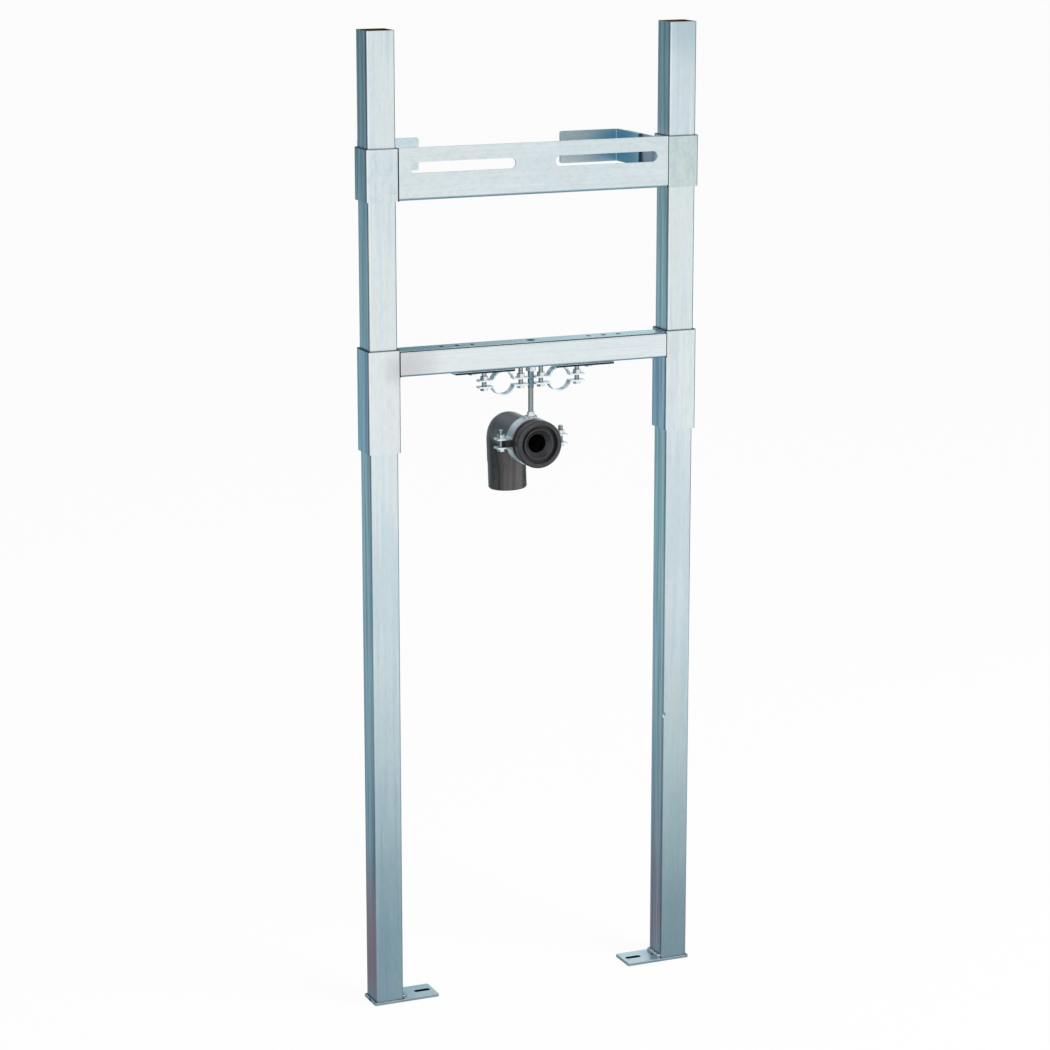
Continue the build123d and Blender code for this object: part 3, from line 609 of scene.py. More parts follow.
@dataclass(frozen=True)
class MouldedRubber:
    """Black EPDM rubber, moulded: matt, slightly dusty, with a fine grain from the mould."""

    name: str
    body: str
    roughness: float
    dust: str = "#484749"
    ior: float = 1.5
    grain_mm: float = 1.4
    dust_mm: float = 18.0

    def material(self) -> Material:
        """Builds the node material.

        Returns:
            The material for the seal or the lining.
        """
        made, tree = blank_material(self.name)
        place = add(tree, "ShaderNodeTexCoord").outputs["Object"]
        bloom = add(tree, "ShaderNodeTexNoise", {"Vector": place, "Scale": 1000 / self.dust_mm, "Detail": 5.0,
                                                 "Roughness": 0.65})
        grain = add(tree, "ShaderNodeTexNoise", {"Vector": place, "Scale": 1000 / self.grain_mm,
                                                 "Detail": 2.0})
        dusty = add(tree, "ShaderNodeMapRange", {"Value": bloom, "From Min": 0.35, "From Max": 0.75,
                                                 "To Min": 0.05, "To Max": 0.75})
        skin = add(tree, "ShaderNodeMix", {0: dusty, 6: linear(self.body), 7: linear(self.dust)},
                   data_type="RGBA")
        gloss = add(tree, "ShaderNodeMapRange", {"Value": bloom, "To Min": self.roughness - 0.08,
                                                 "To Max": self.roughness + 0.12})
        relief = add(tree, "ShaderNodeBump", {"Height": grain, "Strength": 0.2, "Distance": 0.1 * MM})
        rubber = add(tree, "ShaderNodeBsdfPrincipled", {"Base Color": skin, "IOR": self.ior,
                                                        "Roughness": gloss, "Normal": relief})
        add(tree, "ShaderNodeOutputMaterial", {"Surface": rubber})
        return made


def dress(material: Material, *nodes: str) -> None:
    """Gives CAD nodes their finish through their material slots.

    Args:
        material: Finish to show.
        nodes: Names of the CAD nodes.
    """
    for name in nodes:
        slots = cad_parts[name].material_slots
        if not slots:
            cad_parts[name].data.materials.append(material)
        for slot in slots:
            slot.material = material
        LOG.info("%s dressed in %s", name, material.name)


def grow(name: str, tree: Tree, seats: list[Vector], values: dict[str, object]) -> bpy.types.Object:
    """Runs a Geometry Nodes tree on a set of points and keeps the result as a plain mesh.

    Args:
        name: Name of the piece.
        tree: Geometry Nodes tree whose first input is the points.
        seats: Points, in metres, that the tree works from.
        values: Value of each named input.

    Returns:
        The finished object, with no modifier left on it.
    """
    mesh = bpy.data.meshes.new(f"{name}_seats")
    mesh.from_pydata([tuple(seat) for seat in seats], [], [])
    piece = bpy.data.objects.new(name, mesh)
    bpy.context.scene.collection.objects.link(piece)
    work = piece.modifiers.new("nodes", "NODES")
    work.node_group = tree
    keys = {item.name: item.identifier for item in tree.interface.items_tree if item.in_out == "INPUT"}
    for label, value in values.items():
        work[keys[label]] = value
    graph = bpy.context.evaluated_depsgraph_get()
    grown = bpy.data.meshes.new_from_object(piece.evaluated_get(graph), depsgraph=graph)
    grown.name = name
    piece.modifiers.remove(work)
    piece.data = grown
    return piece


def open_tree(name: str, inputs: dict[str, str]) -> tuple[Tree, bpy.types.Node]:
    """Starts a Geometry Nodes tree with named inputs.

    Args:
        name: Name of the tree.
        inputs: Socket kind for each named input.

    Returns:
        The tree and its input node.
    """
    tree = bpy.data.node_groups.new(name, "GeometryNodeTree")
    tree.interface.new_socket("Seats", in_out="INPUT", socket_type="NodeSocketGeometry")
    tree.interface.new_socket("Piece", in_out="OUTPUT", socket_type="NodeSocketGeometry")
    for label, kind in inputs.items():
        tree.interface.new_socket(label, in_out="INPUT", socket_type=kind)
    return tree, add(tree, "NodeGroupInput")


def close_tree(tree: Tree, copies: bpy.types.Node, given: bpy.types.Node) -> Tree:
    """Ends a Geometry Nodes tree: the copies become one smooth mesh with the finish that was given.

    Args:
        tree: Tree to end.
        copies: Node that sets the copies.
        given: Input node of the tree.

    Returns:
        The finished tree.
    """
    solid = add(tree, "GeometryNodeRealizeInstances", {0: copies})
    smooth = add(tree, "GeometryNodeSetShadeSmooth", {0: solid, "Shade Smooth": True})
    done = add(tree, "GeometryNodeSetMaterial", {0: smooth, "Material": given.outputs["Finish"]})
    add(tree, "NodeGroupOutput", {0: done})
    return tree


def thread_tree() -> Tree:
    """Builds the tree that winds a thread round each stud.

    Returns:
        Tree with inputs for the stud's radius, the pitch, the number of turns and the direction.
    """
    tree, given = open_tree("thread_turns", {"Radius": "NodeSocketFloat", "Pitch": "NodeSocketFloat",
                                             "Turns": "NodeSocketFloat", "Direction": "NodeSocketVector",
                                             "Finish": "NodeSocketMaterial"})
    size = given.outputs
    length = add(tree, "ShaderNodeMath", {0: size["Pitch"], 1: size["Turns"]}, operation="MULTIPLY")
    helix = add(tree, "GeometryNodeCurveSpiral", {"Resolution": RIDGE_STEPS, "Rotations": size["Turns"],
                                                  "Start Radius": size["Radius"],
                                                  "End Radius": size["Radius"], "Height": length})
    depth = add(tree, "ShaderNodeMath", {0: size["Pitch"], 1: RIDGE_SHARE}, operation="MULTIPLY")
    flank = add(tree, "GeometryNodeCurvePrimitiveCircle", {"Resolution": RIDGE_SIDES, "Radius": depth})
    ridge = add(tree, "GeometryNodeCurveToMesh", {"Curve": helix, "Profile Curve": flank,
                                                  "Fill Caps": True})
    spots = add(tree, "GeometryNodeMeshToPoints", {"Mesh": size["Seats"]})
    turn = add(tree, "FunctionNodeAlignRotationToVector", {"Vector": size["Direction"]}, axis="Z")
    wound = add(tree, "GeometryNodeInstanceOnPoints", {"Points": spots, "Instance": ridge,
                                                       "Rotation": turn})
    return close_tree(tree, wound, given)


def ripple_tree() -> Tree:
    """Builds the tree that lays overlapping weld ripples, one on each seat.

    Returns:
        Tree with inputs for the ripple's size, its unevenness and its finish.
    """
    tree, given = open_tree("weld_ripples", {"Size": "NodeSocketVector", "Unevenness": "NodeSocketFloat",
                                             "End Swell": "NodeSocketFloat", "Levels": "NodeSocketInt",
                                             "Finish": "NodeSocketMaterial"})
    size = given.outputs
    scale = add(tree, "GeometryNodeMeshIcoSphere", {"Radius": 1.0, "Subdivisions": size["Levels"]})
    dents = add(tree, "ShaderNodeTexNoise", {"Scale": DENT_SCALE, "Detail": 2.0})
    shift = add(tree, "ShaderNodeMapRange", {"Value": dents, "To Min": -DENT_DEPTH, "To Max": DENT_DEPTH})
    normal = add(tree, "GeometryNodeInputNormal")
    push = add(tree, "ShaderNodeVectorMath", {0: normal, "Scale": shift}, operation="SCALE")
    lump = add(tree, "GeometryNodeSetPosition", {"Geometry": scale, "Offset": push})
    spots = add(tree, "GeometryNodeMeshToPoints", {"Mesh": size["Seats"]})
    order = add(tree, "GeometryNodeInputIndex")
    start = add(tree, "ShaderNodeMapRange", {"Value": order, "From Min": 0.0, "From Max": 2.0,
                                             "To Min": size["End Swell"], "To Max": 1.0})
    low = add(tree, "ShaderNodeMath", {0: 1.0, 1: size["Unevenness"]}, operation="SUBTRACT")
    high = add(tree, "ShaderNodeMath", {0: 1.0, 1: size["Unevenness"]}, operation="ADD")
    chance = add(tree, "FunctionNodeRandomValue", {2: low, 3: high, "Seed": RIPPLE_SEED}, data_type="FLOAT")
    both = add(tree, "ShaderNodeMath", {0: start, 1: chance.outputs[1]}, operation="MULTIPLY")
    grown = add(tree, "ShaderNodeVectorMath", {0: size["Size"], "Scale": both}, operation="SCALE")
    laid = add(tree, "GeometryNodeInstanceOnPoints", {"Points": spots, "Instance": lump, "Scale": grown})
    return close_tree(tree, laid, given)


@dataclass
class FloorFrame:
    """The two uprights with their foot plates and weld runs."""

    spacing_mm: float = 440.0
    half_tube_mm: float = 20.0
    foot_top_mm: float = 4.0
    weld_half_mm: float = 16.5
    ripple_pitch_mm: float = 2.3
    ripple_seat_mm: float = 1.9
    ripple_size_mm: Point = (3.2, 2.0, 3.2)
    hot_in_mm: float = 24.0
    hot_y_mm: Span = (-12.0, 8.0)
    bead: ZincPlate = ZincPlate("zinc_plated_weld_bead", Grain.ALONG_Y, body="#C3CBDC", cloud_mm=6.0,
                                roughness=0.24, mottle=0.1)

    def build(self) -> None:
        """Dresses the uprights and the feet and lays the weld ripples."""
        # Both uprights get painted reflection bands and painted shade on their flanks.
        left = SawnTube("zinc_plated_left_tube", Grain.ALONG_Z, tint=0.34, corner_mm=-self.half_tube_mm,
                        # On the left upright the pink cloud low on its outer flank is a painted reflection
                        # tint.
                        heat_at_mm=((-20.0, 4.0, 50.0), (-20.0, 4.0, 130.0)), heat_mm=100.0, heat=0.75,
                        oxide="#FFD3D2", paint_tint_on_flanks_only=True)
        right = SawnTube("zinc_plated_right_tube", Grain.ALONG_Z, tint=0.34, corner_mm=-self.half_tube_mm,
                         # On the right upright the cloud makes the top darker and bluer round its front right
                         # corner.
                         axis_mm=self.spacing_mm, heat_at_mm=((self.spacing_mm + 6.0, -45.0, 1345.0),),
                         heat_mm=75.0, heat=0.8, oxide="#BCD0D8")
        dress(left.material(), "left_upright")
        dress(right.material(), "right_upright")
        hot = tuple((x, y, self.foot_top_mm) for x in (self.hot_in_mm, self.spacing_mm - self.hot_in_mm)
                    for y in self.hot_y_mm)
        foot = FootPlate("zinc_plated_foot_plate", Grain.ALONG_X, body="#F0F7F9", cloud_mm=25.0,
                         heat_at_mm=hot, heat_mm=26.0, heat=0.25, spacing_mm=self.spacing_mm,
                         tube_half_mm=self.half_tube_mm)
        dress(foot.material(), "left_foot_plate", "right_foot_plate")
        self.lay_welds(self.bead.material())

    def lay_welds(self, finish: Material) -> None:
        """Lays the ripples of both weld runs, a piece each.

        Args:
            finish: Finish of the weld metal.
        """
        tree = ripple_tree()
        count = int(2 * self.weld_half_mm / self.ripple_pitch_mm) + 1
        for side, axis, inward in (("left", 0.0, 1.0), ("right", self.spacing_mm, -1.0)):
            x = axis + inward * (self.half_tube_mm + self.ripple_seat_mm)
            z = self.foot_top_mm + self.ripple_seat_mm
            seats = [Vector((x, -self.weld_half_mm + i * self.ripple_pitch_mm, z)) * MM for i in range(count)]
            bead = grow(f"{side}_weld_ripples", tree, seats,
                        {"Size": metres(self.ripple_size_mm), "Unevenness": 0.08, "End Swell": 1.2,
                         "Levels": 4, "Finish": finish})
            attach(bead, "floor_frame")
            LOG.info("%s: %d ripples", bead.name, count)


@dataclass
class BarGrooveShadows:
    """Dark strips in the grooves where a crossbar meets its two sleeves, as painted shadow."""

    name: str
    body: str
    low_mm: float
    high_mm: float
    spacing_mm: float = 440.0
    groove_mm: Span = (22.35, -22.0)
    pitch_mm: float = 1.1
    size_mm: Point = (1.25, 1.0, 1.1)
    finish: GrooveShadowStrip = GrooveShadowStrip()

    def build(self) -> None:
        """Lays both shadow strips as one piece."""
        x, y = self.groove_mm
        count = int((self.high_mm - self.low_mm) / self.pitch_mm) + 1
        # Painted shadow: dark strips stand for the shade in the grooves.
        seats = [Vector((place, y, self.low_mm + i * self.pitch_mm)) * MM
                 for place in (x, self.spacing_mm - x) for i in range(count)]
        shadow_strips = grow(self.name, ripple_tree(), seats,
                     {"Size": metres(self.size_mm), "Unevenness": 0.06, "End Swell": 1.0,
                      "Levels": 2, "Finish": self.finish.material()})
        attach(shadow_strips, self.body)
        LOG.info("%s: %d ripples", self.name, len(seats))


@dataclass
class UpperBar:
    """The upper crossbar with its sleeves, wall straps and wall brackets."""

    # The upper sleeves get painted reflection bands and painted shade on their flanks.
    sleeve: CutEnd = CutEnd("zinc_plated_sleeve", Grain.ALONG_Z, mottle=0.26, smear=1.6, corner_mm=-23.0,
                            from_mm=1191.9, to_mm=1192.6)
    right_sleeve: CutEnd = CutEnd("zinc_plated_right_sleeve", Grain.ALONG_Z, body="#DEE9E8", mottle=0.36,
                                  smear=1.6, corner_mm=-23.0, from_mm=1191.9, to_mm=1192.6)
    angle: ZincPlate = ZincPlate("zinc_plated_angle", Grain.ALONG_X, tint=0.12, mottle=0.2, smear=1.6)
    left_bracket: ZincPlate = ZincPlate("zinc_plated_left_bracket", Grain.ALONG_Y, body="#DDEAEE",
                                        roughness=0.45, mirror=0.45)
    # On the right bracket the dark line at the arm's front end is painted shadow.
    right_bracket: CutEnd = CutEnd("zinc_plated_right_bracket", Grain.ALONG_Y, body="#EAF1F4", axis="Y",
                                   from_mm=66.0, to_mm=64.5, heat_mm=64.0, heat=0.75, oxide="#7DBAD4",
                                   heat_at_mm=((415.0, 96.0, 1166.0), (415.0, 126.0, 1166.0)))
    right_strap: ZincPlate = ZincPlate("zinc_plated_right_strap", Grain.ALONG_Y, body="#CFCDD6")
    screw: ZincPlate = ZincPlate("zinc_plated_fastener", Grain.ALONG_Z, body="#E0E7EB", roughness=0.28,
                                 cloud_mm=12.0)
    groove_shadows: BarGrooveShadows = field(default_factory=lambda: BarGrooveShadows("upper_bar_groove_shadows", "upper_bar", 1123.6, 1192.4))

    def build(self) -> None:
        """Dresses the nodes of the upper crossbar and lays its painted groove shadows."""
        dress(self.sleeve.material(), "upper_left_sleeve")
        dress(self.right_sleeve.material(), "upper_right_sleeve")
        dress(self.angle.material(), "upper_crossbar")
        dress(self.left_bracket.material(), "left_wall_strap", "left_wall_bracket")
        dress(self.right_bracket.material(), "right_wall_bracket")
        dress(self.right_strap.material(), "right_wall_strap")
        dress(self.screw.material(), "left_bracket_bolts", "right_bracket_bolts", "upper_lock_screws")
        self.groove_shadows.build()


@dataclass(frozen=True)
class Stud:
    """A threaded stud, or a pair of them set evenly about the middle."""

    name: str
    offset_mm: float
    radius_mm: float
    pitch_mm: float
    low_mm: float
    high_mm: float


@dataclass
class LowerBar:
    """The lower crossbar with its sleeves, pipe clips, hanger rod, waste clamp, elbow and seal."""

    middle_mm: float = 220.0
    bar_middle_mm: float = -5.5
    hot_mm: tuple[Point, ...] = ((19.0, -23.0, 898.0), (49.0, -23.0, 902.0))
    boss_mm: float = 815.6
    boss_ring_mm: float = 6.5
    boss_lumps: int = 9
    lump_mm: Point = (2.5, 2.5, 2.2)
    strip: ZincPlate = ZincPlate("zinc_plated_clip_strip", Grain.ALONG_Y, body="#EEF4F7", roughness=0.24,
                                 cloud_mm=14.0, mirror=0.6)
    plate: PaintedShadowStrip = PaintedShadowStrip("zinc_plated_plate_painted_edge_shadow", Grain.ALONG_X, cloud_mm=20.0)
    screw: ZincPlate = ZincPlate("zinc_plated_hexagon_screw", Grain.ALONG_Z, body="#E6EDF0", roughness=0.2,
                                 cloud_mm=9.0)
    rod: ZincPlate = ZincPlate("zinc_plated_rod", Grain.ALONG_Z, body="#989C9C", roughness=0.26,
                               cloud_mm=12.0)
    rod_thread: ZincPlate = ZincPlate("zinc_plated_rod_thread", Grain.ALONG_Z, body="#62A6C0", roughness=0.26,
                                      cloud_mm=8.0)
    # The studs' threads are painted near-black navy with a dark edge tint, as painted shade and dark
    # reflection in their fine grooves.
    stud_thread: ZincPlate = ZincPlate("zinc_plated_stud_thread_painted_shade", Grain.ALONG_Z, body="#121D23",
                                       edge="#4E626C", roughness=0.26, cloud_mm=8.0)
    bead: ZincPlate = ZincPlate("zinc_plated_boss_bead", Grain.ALONG_Z, body="#EAF0F3", roughness=0.24,
                                cloud_mm=6.0, mottle=0.1)
    pipe: BlackPolyethylene = BlackPolyethylene()
    seal: MouldedRubber = MouldedRubber("epdm_rubber_seal_moulded", body="#28282A", dust="#454446",
                                        roughness=0.35)
    lining: MouldedRubber = MouldedRubber("epdm_rubber_lining_extruded", body="#2C2A2E", roughness=0.55)
    groove_shadows: BarGrooveShadows = field(default_factory=lambda: BarGrooveShadows("lower_bar_groove_shadows", "lower_bar", 887.6, 921.4))
    studs: tuple[Stud, ...] = (Stud("rod_thread", 0.0, 4.0, 1.25, 856.6, 879.2),
                               Stud("clip_inner_stud_threads", 15.0, 3.0, 1.0, 863.2, 886.0),
                               Stud("clip_outer_stud_threads", 69.0, 3.0, 1.0, 863.2, 880.4),
                               Stud("clamp_stud_threads", 44.6, 3.0, 1.0, 777.2, 800.0))

    def build(self) -> None:
        """Dresses the nodes of the lower crossbar, winds the threads and lays the beads."""
        sleeve = CutEnd("zinc_plated_long_sleeve", Grain.ALONG_Z, body="#F4F8F9", heat_at_mm=self.hot_mm,
                        # The lower sleeves get painted reflection bands and painted shade on their flanks,
                        # with a bluish painted reflection tint.
                        oxide="#C3BABF", corner_mm=-23.0, flank="#ECF1FF", from_mm=922.8, to_mm=923.5)
        dress(sleeve.material(), "lower_left_sleeve", "lower_right_sleeve")
        bar = HollowBar("zinc_plated_crossbar_tube", Grain.ALONG_X, roughness=0.25, tint=0.12, mottle=0.1,
                        heat_at_mm=self.hot_mm, heat_mm=44.0, oxide="#C3BABF")
        dress(bar.material(), "lower_crossbar")
        dress(self.plate.material(), "left_clip_plate", "right_clip_plate")
        dress(self.strip.material(), "left_clip_upper", "left_clip_lower", "right_clip_upper",
              "right_clip_lower", "waste_clamp_upper", "waste_clamp_lower")
        dress(self.screw.material(), "clip_plate_bolts", "left_clip_screws", "right_clip_screws", "rod_nuts",
              "waste_clamp_screws", "lower_lock_screws")
        dress(self.rod.material(), "hanger_rod")
        dress(self.pipe.material(), "waste_elbow")
        dress(self.seal.material(), "elbow_seal")
        dress(self.lining.material(), "clamp_lining")
        self.wind_threads()
        self.lay_boss_bead(self.bead.material())
        self.groove_shadows.build()

    def lay_boss_bead(self, finish: Material) -> None:
        """Lays the ring of weld lumps where the rod's boss stands on the waste clamp.

        Args:
            finish: Finish of the weld metal.
        """
        centre = Vector((self.middle_mm, self.bar_middle_mm, self.boss_mm))
        arm = Vector((self.boss_ring_mm, 0.0, 0.0))
        turns = [Matrix.Rotation(math.tau * i / self.boss_lumps, 3, "Z") for i in range(self.boss_lumps)]
        seats = [(centre + turn @ arm) * MM for turn in turns]
        bead = grow("boss_weld_lumps", ripple_tree(), seats,
                    {"Size": metres(self.lump_mm), "Unevenness": 0.22, "End Swell": 1.0, "Levels": 4,
                     "Finish": finish})
        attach(bead, "lower_bar")
        LOG.info("%s: %d lumps", bead.name, self.boss_lumps)

    def wind_threads(self) -> None:
        """Winds a thread on the rod and on every stud that shows."""
        tree = thread_tree()
        blue, navy = self.rod_thread.material(), self.stud_thread.material()
        for stud in self.studs:
            places = {self.middle_mm - stud.offset_mm, self.middle_mm + stud.offset_mm}
            seats = [Vector((x, self.bar_middle_mm, stud.low_mm)) * MM for x in sorted(places)]
            turns = (stud.high_mm - stud.low_mm) / stud.pitch_mm
            piece = grow(stud.name, tree, seats, {"Radius": stud.radius_mm * MM, "Pitch": stud.pitch_mm * MM,
                                                  "Turns": turns, "Direction": (0.0, 0.0, 1.0),
                                                  "Finish": navy if stud.offset_mm else blue})
            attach(piece, "lower_bar")
            LOG.info("%s: %.0f turns on %d studs", stud.name, turns, len(seats))


@dataclass
class Studio:
    """Pale floor, soft lamp, white surroundings and the flags that give the metal its darker reflections."""

    floor_m: float = 60.0
    floor_level_m: float = -0.002
    floor_glow: float = 0.94
    ambient: float = 0.52
    key_watts: float = 170.0
    key_at: Point = (2.4, -3.0, 3.4)
    key_aim: Point = (0.2, 0.0, 0.6)
    key_size: float = 2.6
    # Corners of the row of cards round the back and of the row in front, from the left, seen from above.
    back_row_m: tuple[Span, ...] = ((-3.0, -0.4), (-1.75, 2.1), (0.6, 2.9), (2.6, 1.7), (2.9, -1.2))
    front_row_m: tuple[Span, ...] = ((0.6, -6.0), (2.9, -6.0), (5.4, -6.0))
    back_top_m: float = 2.6
    back_split_m: float = 1.27
    front_top_m: float = 3.0
    overhead_m: tuple[Span, Span] = ((-1.6, -2.0), (2.2, 1.4))
    overhead_level_m: float = 3.0
    cloth_m: tuple[Span, Span] = ((-2.8, -3.0), (3.2, 3.0))
    cloth_level_m: float = -0.001
    cloth_centre_m: Point = (0.3, 0.0, 0.0)
    cloth_oval: Point = (0.6, 1.0, 1.0)
    cloth_reach_m: float = 3.0
    cloth_seam_m: Span = (-0.03, 0.12)

    def build(self) -> None:
        """Sets up the world, the floor, the lamp and the flags."""
        self.surround()
        self.lay_floor()
        self.hang_lamp()
        self.set_flags()

    def seen(self, tree: Tree) -> Socket:
        """Gives one for rays that show the background directly, in metal or through glass.

        Args:
            tree: Tree of the world or of a stage material.

        Returns:
            Socket that is one for such rays and zero for others.
        """
        path = add(tree, "ShaderNodeLightPath")
        mirrored = add(tree, "ShaderNodeMath", {0: path.outputs["Is Camera Ray"],
                                                1: path.outputs["Is Glossy Ray"]}, operation="MAXIMUM")
        return add(tree, "ShaderNodeMath", {0: mirrored, 1: path.outputs["Is Transmission Ray"]},
                   operation="MAXIMUM").outputs[0]

    def surround(self) -> None:
        """Makes the world white to the eye and a plain soft light to the object."""
        world = bpy.data.worlds.new("white_studio")
        bpy.context.scene.world = world
        world.use_nodes = True
        tree = world.node_tree
        tree.nodes.clear()
        level = add(tree, "ShaderNodeMapRange", {"Value": self.seen(tree), "To Min": self.ambient})
        sky = add(tree, "ShaderNodeBackground", {"Color": linear("#FFFFFF"), "Strength": level})
        add(tree, "ShaderNodeOutputWorld", {"Surface": sky})

    def plane(self, name: str, corners: list[Point]) -> bpy.types.Object:
        """Makes a flat stage piece.

        Args:
            name: Name of the piece.
            corners: Its corners, in metres.

        Returns:
            The stage object.
        """
        mesh = bpy.data.meshes.new(name)
        mesh.from_pydata(corners, [], [tuple(range(len(corners)))])
        piece = bpy.data.objects.new(name, mesh)
        bpy.context.scene.collection.objects.link(piece)
        return piece

    def flat(self, area: tuple[Span, Span], level: float) -> list[Point]:
        """Gives the corners of a level sheet.

        Args:
            area: Its front left and back right corners, in metres, seen from above.
            level: Its height.

        Returns:
            The four corners in order.
        """
        (left, front), (right, back) = area
        return [(left, front, level), (right, front, level), (right, back, level), (left, back, level)]

    def lay_floor(self) -> None:
        """Lays the pale floor, which keeps the object's shadow."""
        half = self.floor_m / 2
        floor = self.plane("floor", self.flat(((-half, -half), (half, half)), self.floor_level_m))
        made, tree = blank_material("matt_white_floor")
        matt = add(tree, "ShaderNodeBsdfDiffuse", {"Color": linear("#F4F4F4")})
        glow = add(tree, "ShaderNodeEmission", {"Color": linear("#FFFFFF"), "Strength": 1.0})
        share = add(tree, "ShaderNodeMath", {0: self.seen(tree), 1: self.floor_glow}, operation="MULTIPLY")
        mixed = add(tree, "ShaderNodeMixShader", {0: share, 1: matt, 2: glow})
        add(tree, "ShaderNodeOutputMaterial", {"Surface": mixed})
        floor.data.materials.append(made)

    def hang_lamp(self) -> None:
        """Hangs the large soft lamp in front, to the right and above."""
        light = bpy.data.lights.new("soft_key", "AREA")
        light.shape = "SQUARE"
        light.size = self.key_size
        light.energy = self.key_watts
        lamp = bpy.data.objects.new("soft_key", light)
        lamp.location = self.key_at
        lamp.rotation_euler = (Vector(self.key_aim) - Vector(self.key_at)).to_track_quat("-Z", "Y").to_euler()
        lamp.visible_glossy = False
        bpy.context.scene.collection.objects.link(lamp)

    def flag(self, name: str, corners: list[Point], material: Material) -> None:
        """Stands a card that only reflections see.

        Args:
            name: Name of the card.
            corners: Its corners, in metres.
            material: Shade that the metal mirrors.
        """
        card = self.plane(name, corners)
        card.data.materials.append(material)
        card.visible_camera = False
        card.visible_diffuse = False
        card.visible_transmission = False
        card.visible_volume_scatter = False
        card.visible_shadow = False

    def cloth(self, name: str, along: str, span: Span, stops: Stops) -> Material:
        """Makes a card's shade, which changes along one axis.

        Args:
            name: Name of the cloth.
            along: Axis that it changes along.
            span: Where the change starts and ends, in metres.
            stops: Places and hex colours of the change.

        Returns:
            The material for the card.
        """
        made, tree = blank_material(name)
        place = add(tree, "ShaderNodeSeparateXYZ", {0: add(tree, "ShaderNodeTexCoord").outputs["Object"]})
        part = add(tree, "ShaderNodeMapRange", {"Value": place.outputs[along], "From Min": span[0],
                                                "From Max": span[1]})
        ramp = add(tree, "ShaderNodeValToRGB", {"Fac": part}, stops=stops)
        glow = add(tree, "ShaderNodeEmission", {"Color": ramp})
        add(tree, "ShaderNodeOutputMaterial", {"Surface": glow})
        return made

    def stand(self, name: str, start: Span, end: Span, top: float,
              material: Material, foot: float = 0.0) -> None:
        """Stands an upright card between two points.

        Args:
            name: Name of the card.
            start: Where it starts, in metres, seen from above.
            end: Where it ends.
            top: Height of its upper edge.
            material: Shade that the metal mirrors.
            foot: Height of its lower edge.
        """
        self.flag(name, [(*start, foot), (*end, foot), (*end, top), (*start, top)], material)

    def set_flags(self) -> None:
        """Stands the cards round the object, overhead and on the floor."""
        left_end, left, back, right, right_end = self.back_row_m
        near, middle, far = self.front_row_m
        teal = self.cloth("flag_cloth_teal", "Z", (0.0, 2.4),
                          ((0.0, "#A3C3CA"), (1.0, "#BCD2DA"), (0.28, "#8BAEB8"), (0.44, "#627F8A"),
                           (0.6, "#66838E"), (0.78, "#B4CBD4")))
        self.stand("flag_back_left", left, back, self.back_top_m, teal)
        low = self.cloth("flag_cloth_low_mist", "X", (1.12, 1.38), ((0.0, "#BAD3DB"), (1.0, "#D3E6EC")))
        self.stand("flag_back_right_low", back, right, self.back_split_m, low)
        mist = self.cloth("flag_cloth_mist", "X", (1.12, 1.38), ((0.0, "#6A8B96"), (1.0, "#F2FDFF")))
        self.stand("flag_back_right", back, right, self.back_top_m, mist, foot=self.back_split_m)
        slate = self.cloth("flag_cloth_slate", "Z", (0.0, 2.4), ((0.0, "#42555F"), (1.0, "#364852")))
        self.stand("flag_left", left_end, left, self.back_top_m, slate)
        self.stand("flag_right", right, right_end, self.back_top_m, slate)
        pale = self.cloth("flag_cloth_pale", "Z", (0.0, 1.0), ((0.0, "#F4F8F9"), (1.0, "#DCE6E9")))
        self.stand("flag_front_left", near, middle, self.front_top_m, pale)
        dusk = self.cloth("flag_cloth_dusk", "Z", (0.0, 1.0), ((0.0, "#E4EBED"), (1.0, "#C3D0D5")))
        self.stand("flag_front_right", middle, far, self.front_top_m, dusk)
        dark = self.cloth("flag_cloth_ceiling", "Y", (-2.0, 1.4), ((0.0, "#3C515B"), (1.0, "#334650")))
        self.flag("flag_overhead", self.flat(self.overhead_m, self.overhead_level_m), dark)
        self.lay_floor_cloth()

    def lay_floor_cloth(self) -> None:
        """Lays the floor card, which is slate round the feet and paler in front, teal behind."""
        made, tree = blank_material("flag_floor_cloth")
        place = add(tree, "ShaderNodeTexCoord").outputs["Object"]
        centred = add(tree, "ShaderNodeVectorMath", {0: place, 1: self.cloth_centre_m}, operation="SUBTRACT")
        oval = add(tree, "ShaderNodeVectorMath", {0: centred, 1: self.cloth_oval}, operation="MULTIPLY")
        reach = add(tree, "ShaderNodeVectorMath", {0: oval}, operation="LENGTH")
        near = add(tree, "ShaderNodeMapRange", {"Value": reach, "From Max": self.cloth_reach_m})
        front = add(tree, "ShaderNodeValToRGB", {"Fac": near},
                    stops=((0.02, "#708D9A"), (0.8, "#F2F6F7"), (0.12, "#7A99A6"), (0.3, "#9DB9C2"),
                           (0.55, "#E4EEF1")))
        behind = add(tree, "ShaderNodeValToRGB", {"Fac": near},
                     stops=((0.02, "#7F7E8C"), (0.8, "#A5C5CC"), (0.12, "#7C8494"), (0.3, "#7C9BAA"),
                            (0.55, "#98B6C0")))
        side = add(tree, "ShaderNodeSeparateXYZ", {0: place})
        back = add(tree, "ShaderNodeMapRange", {"Value": side.outputs["Y"], "From Min": self.cloth_seam_m[0],
                                                "From Max": self.cloth_seam_m[1]})
        both = add(tree, "ShaderNodeMix", {0: back, 6: front, 7: behind}, data_type="RGBA")
        cloth = add(tree, "ShaderNodeEmission", {"Color": both})
        add(tree, "ShaderNodeOutputMaterial", {"Surface": cloth})
        self.flag("flag_floor", self.flat(self.cloth_m, self.cloth_level_m), made)


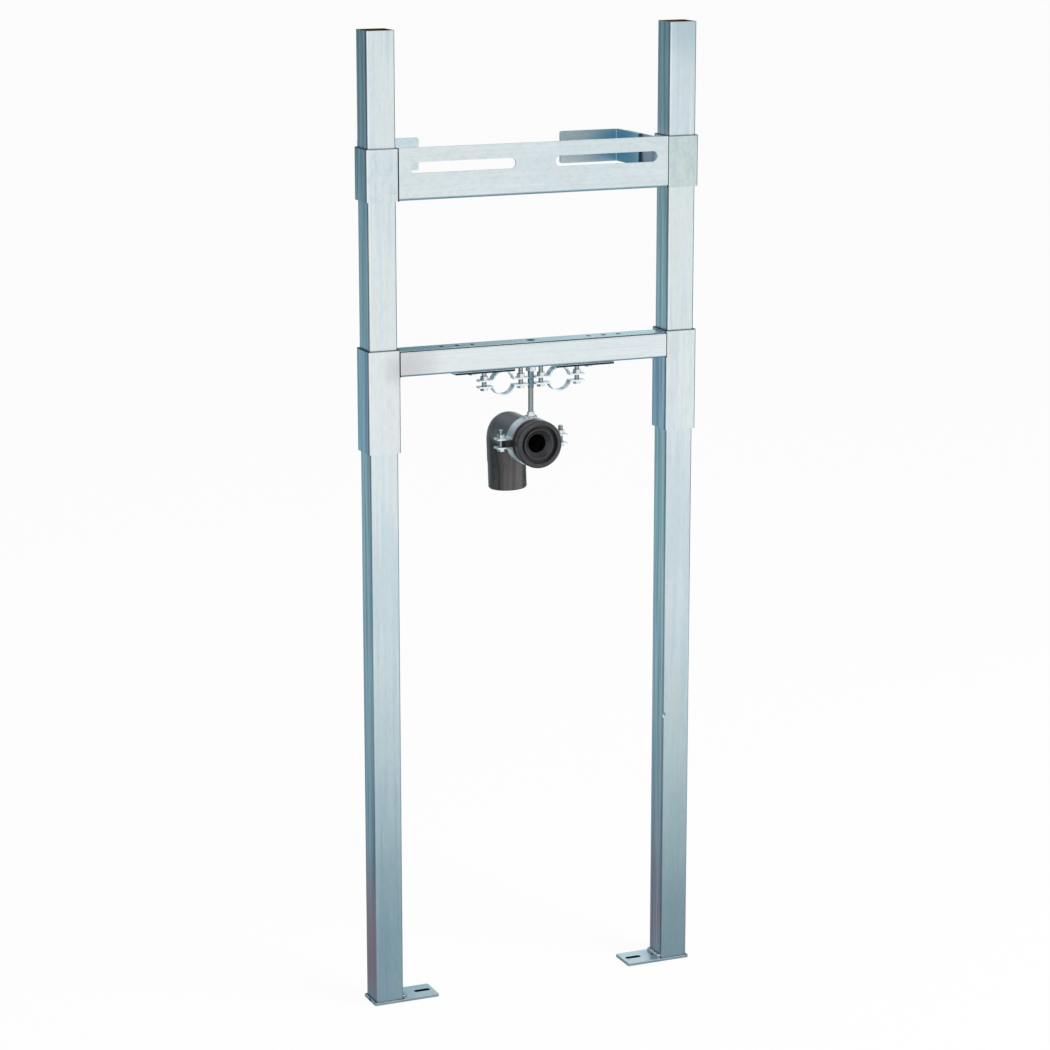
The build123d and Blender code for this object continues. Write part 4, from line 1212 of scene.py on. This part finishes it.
@dataclass
class PhotoCamera:
    """Long lens from the front left, a little above the middle, aimed without shift."""

    at_mm: Point = (-1476.0, -3902.0, 1638.0)
    aim_mm: Point = (213.8, 0.0, 662.5)
    lens_mm: float = 108.15
    sensor_mm: float = 36.0
    reach_m: float = 200.0

    def build(self) -> None:
        """Stands the camera and makes it the scene's own."""
        data = bpy.data.cameras.new("photo_camera")
        data.sensor_width = self.sensor_mm
        data.lens = self.lens_mm
        data.clip_end = self.reach_m
        camera = bpy.data.objects.new("photo_camera", data)
        camera.location = Vector(self.at_mm) * MM
        gaze = (Vector(self.aim_mm) - Vector(self.at_mm)).normalized()
        camera.rotation_euler = gaze.to_track_quat("-Z", "Y").to_euler()
        bpy.context.scene.collection.objects.link(camera)
        bpy.context.scene.camera = camera


def main() -> None:
    """Builds the frame's looks, the studio and the camera."""
    logging.basicConfig(level=logging.INFO, format="%(message)s")
    bpy.context.scene.view_settings.view_transform = "Standard"
    for assembly in (FloorFrame(), UpperBar(), LowerBar(), Studio(), PhotoCamera()):
        assembly.build()


if __name__ == "__main__":
    main()
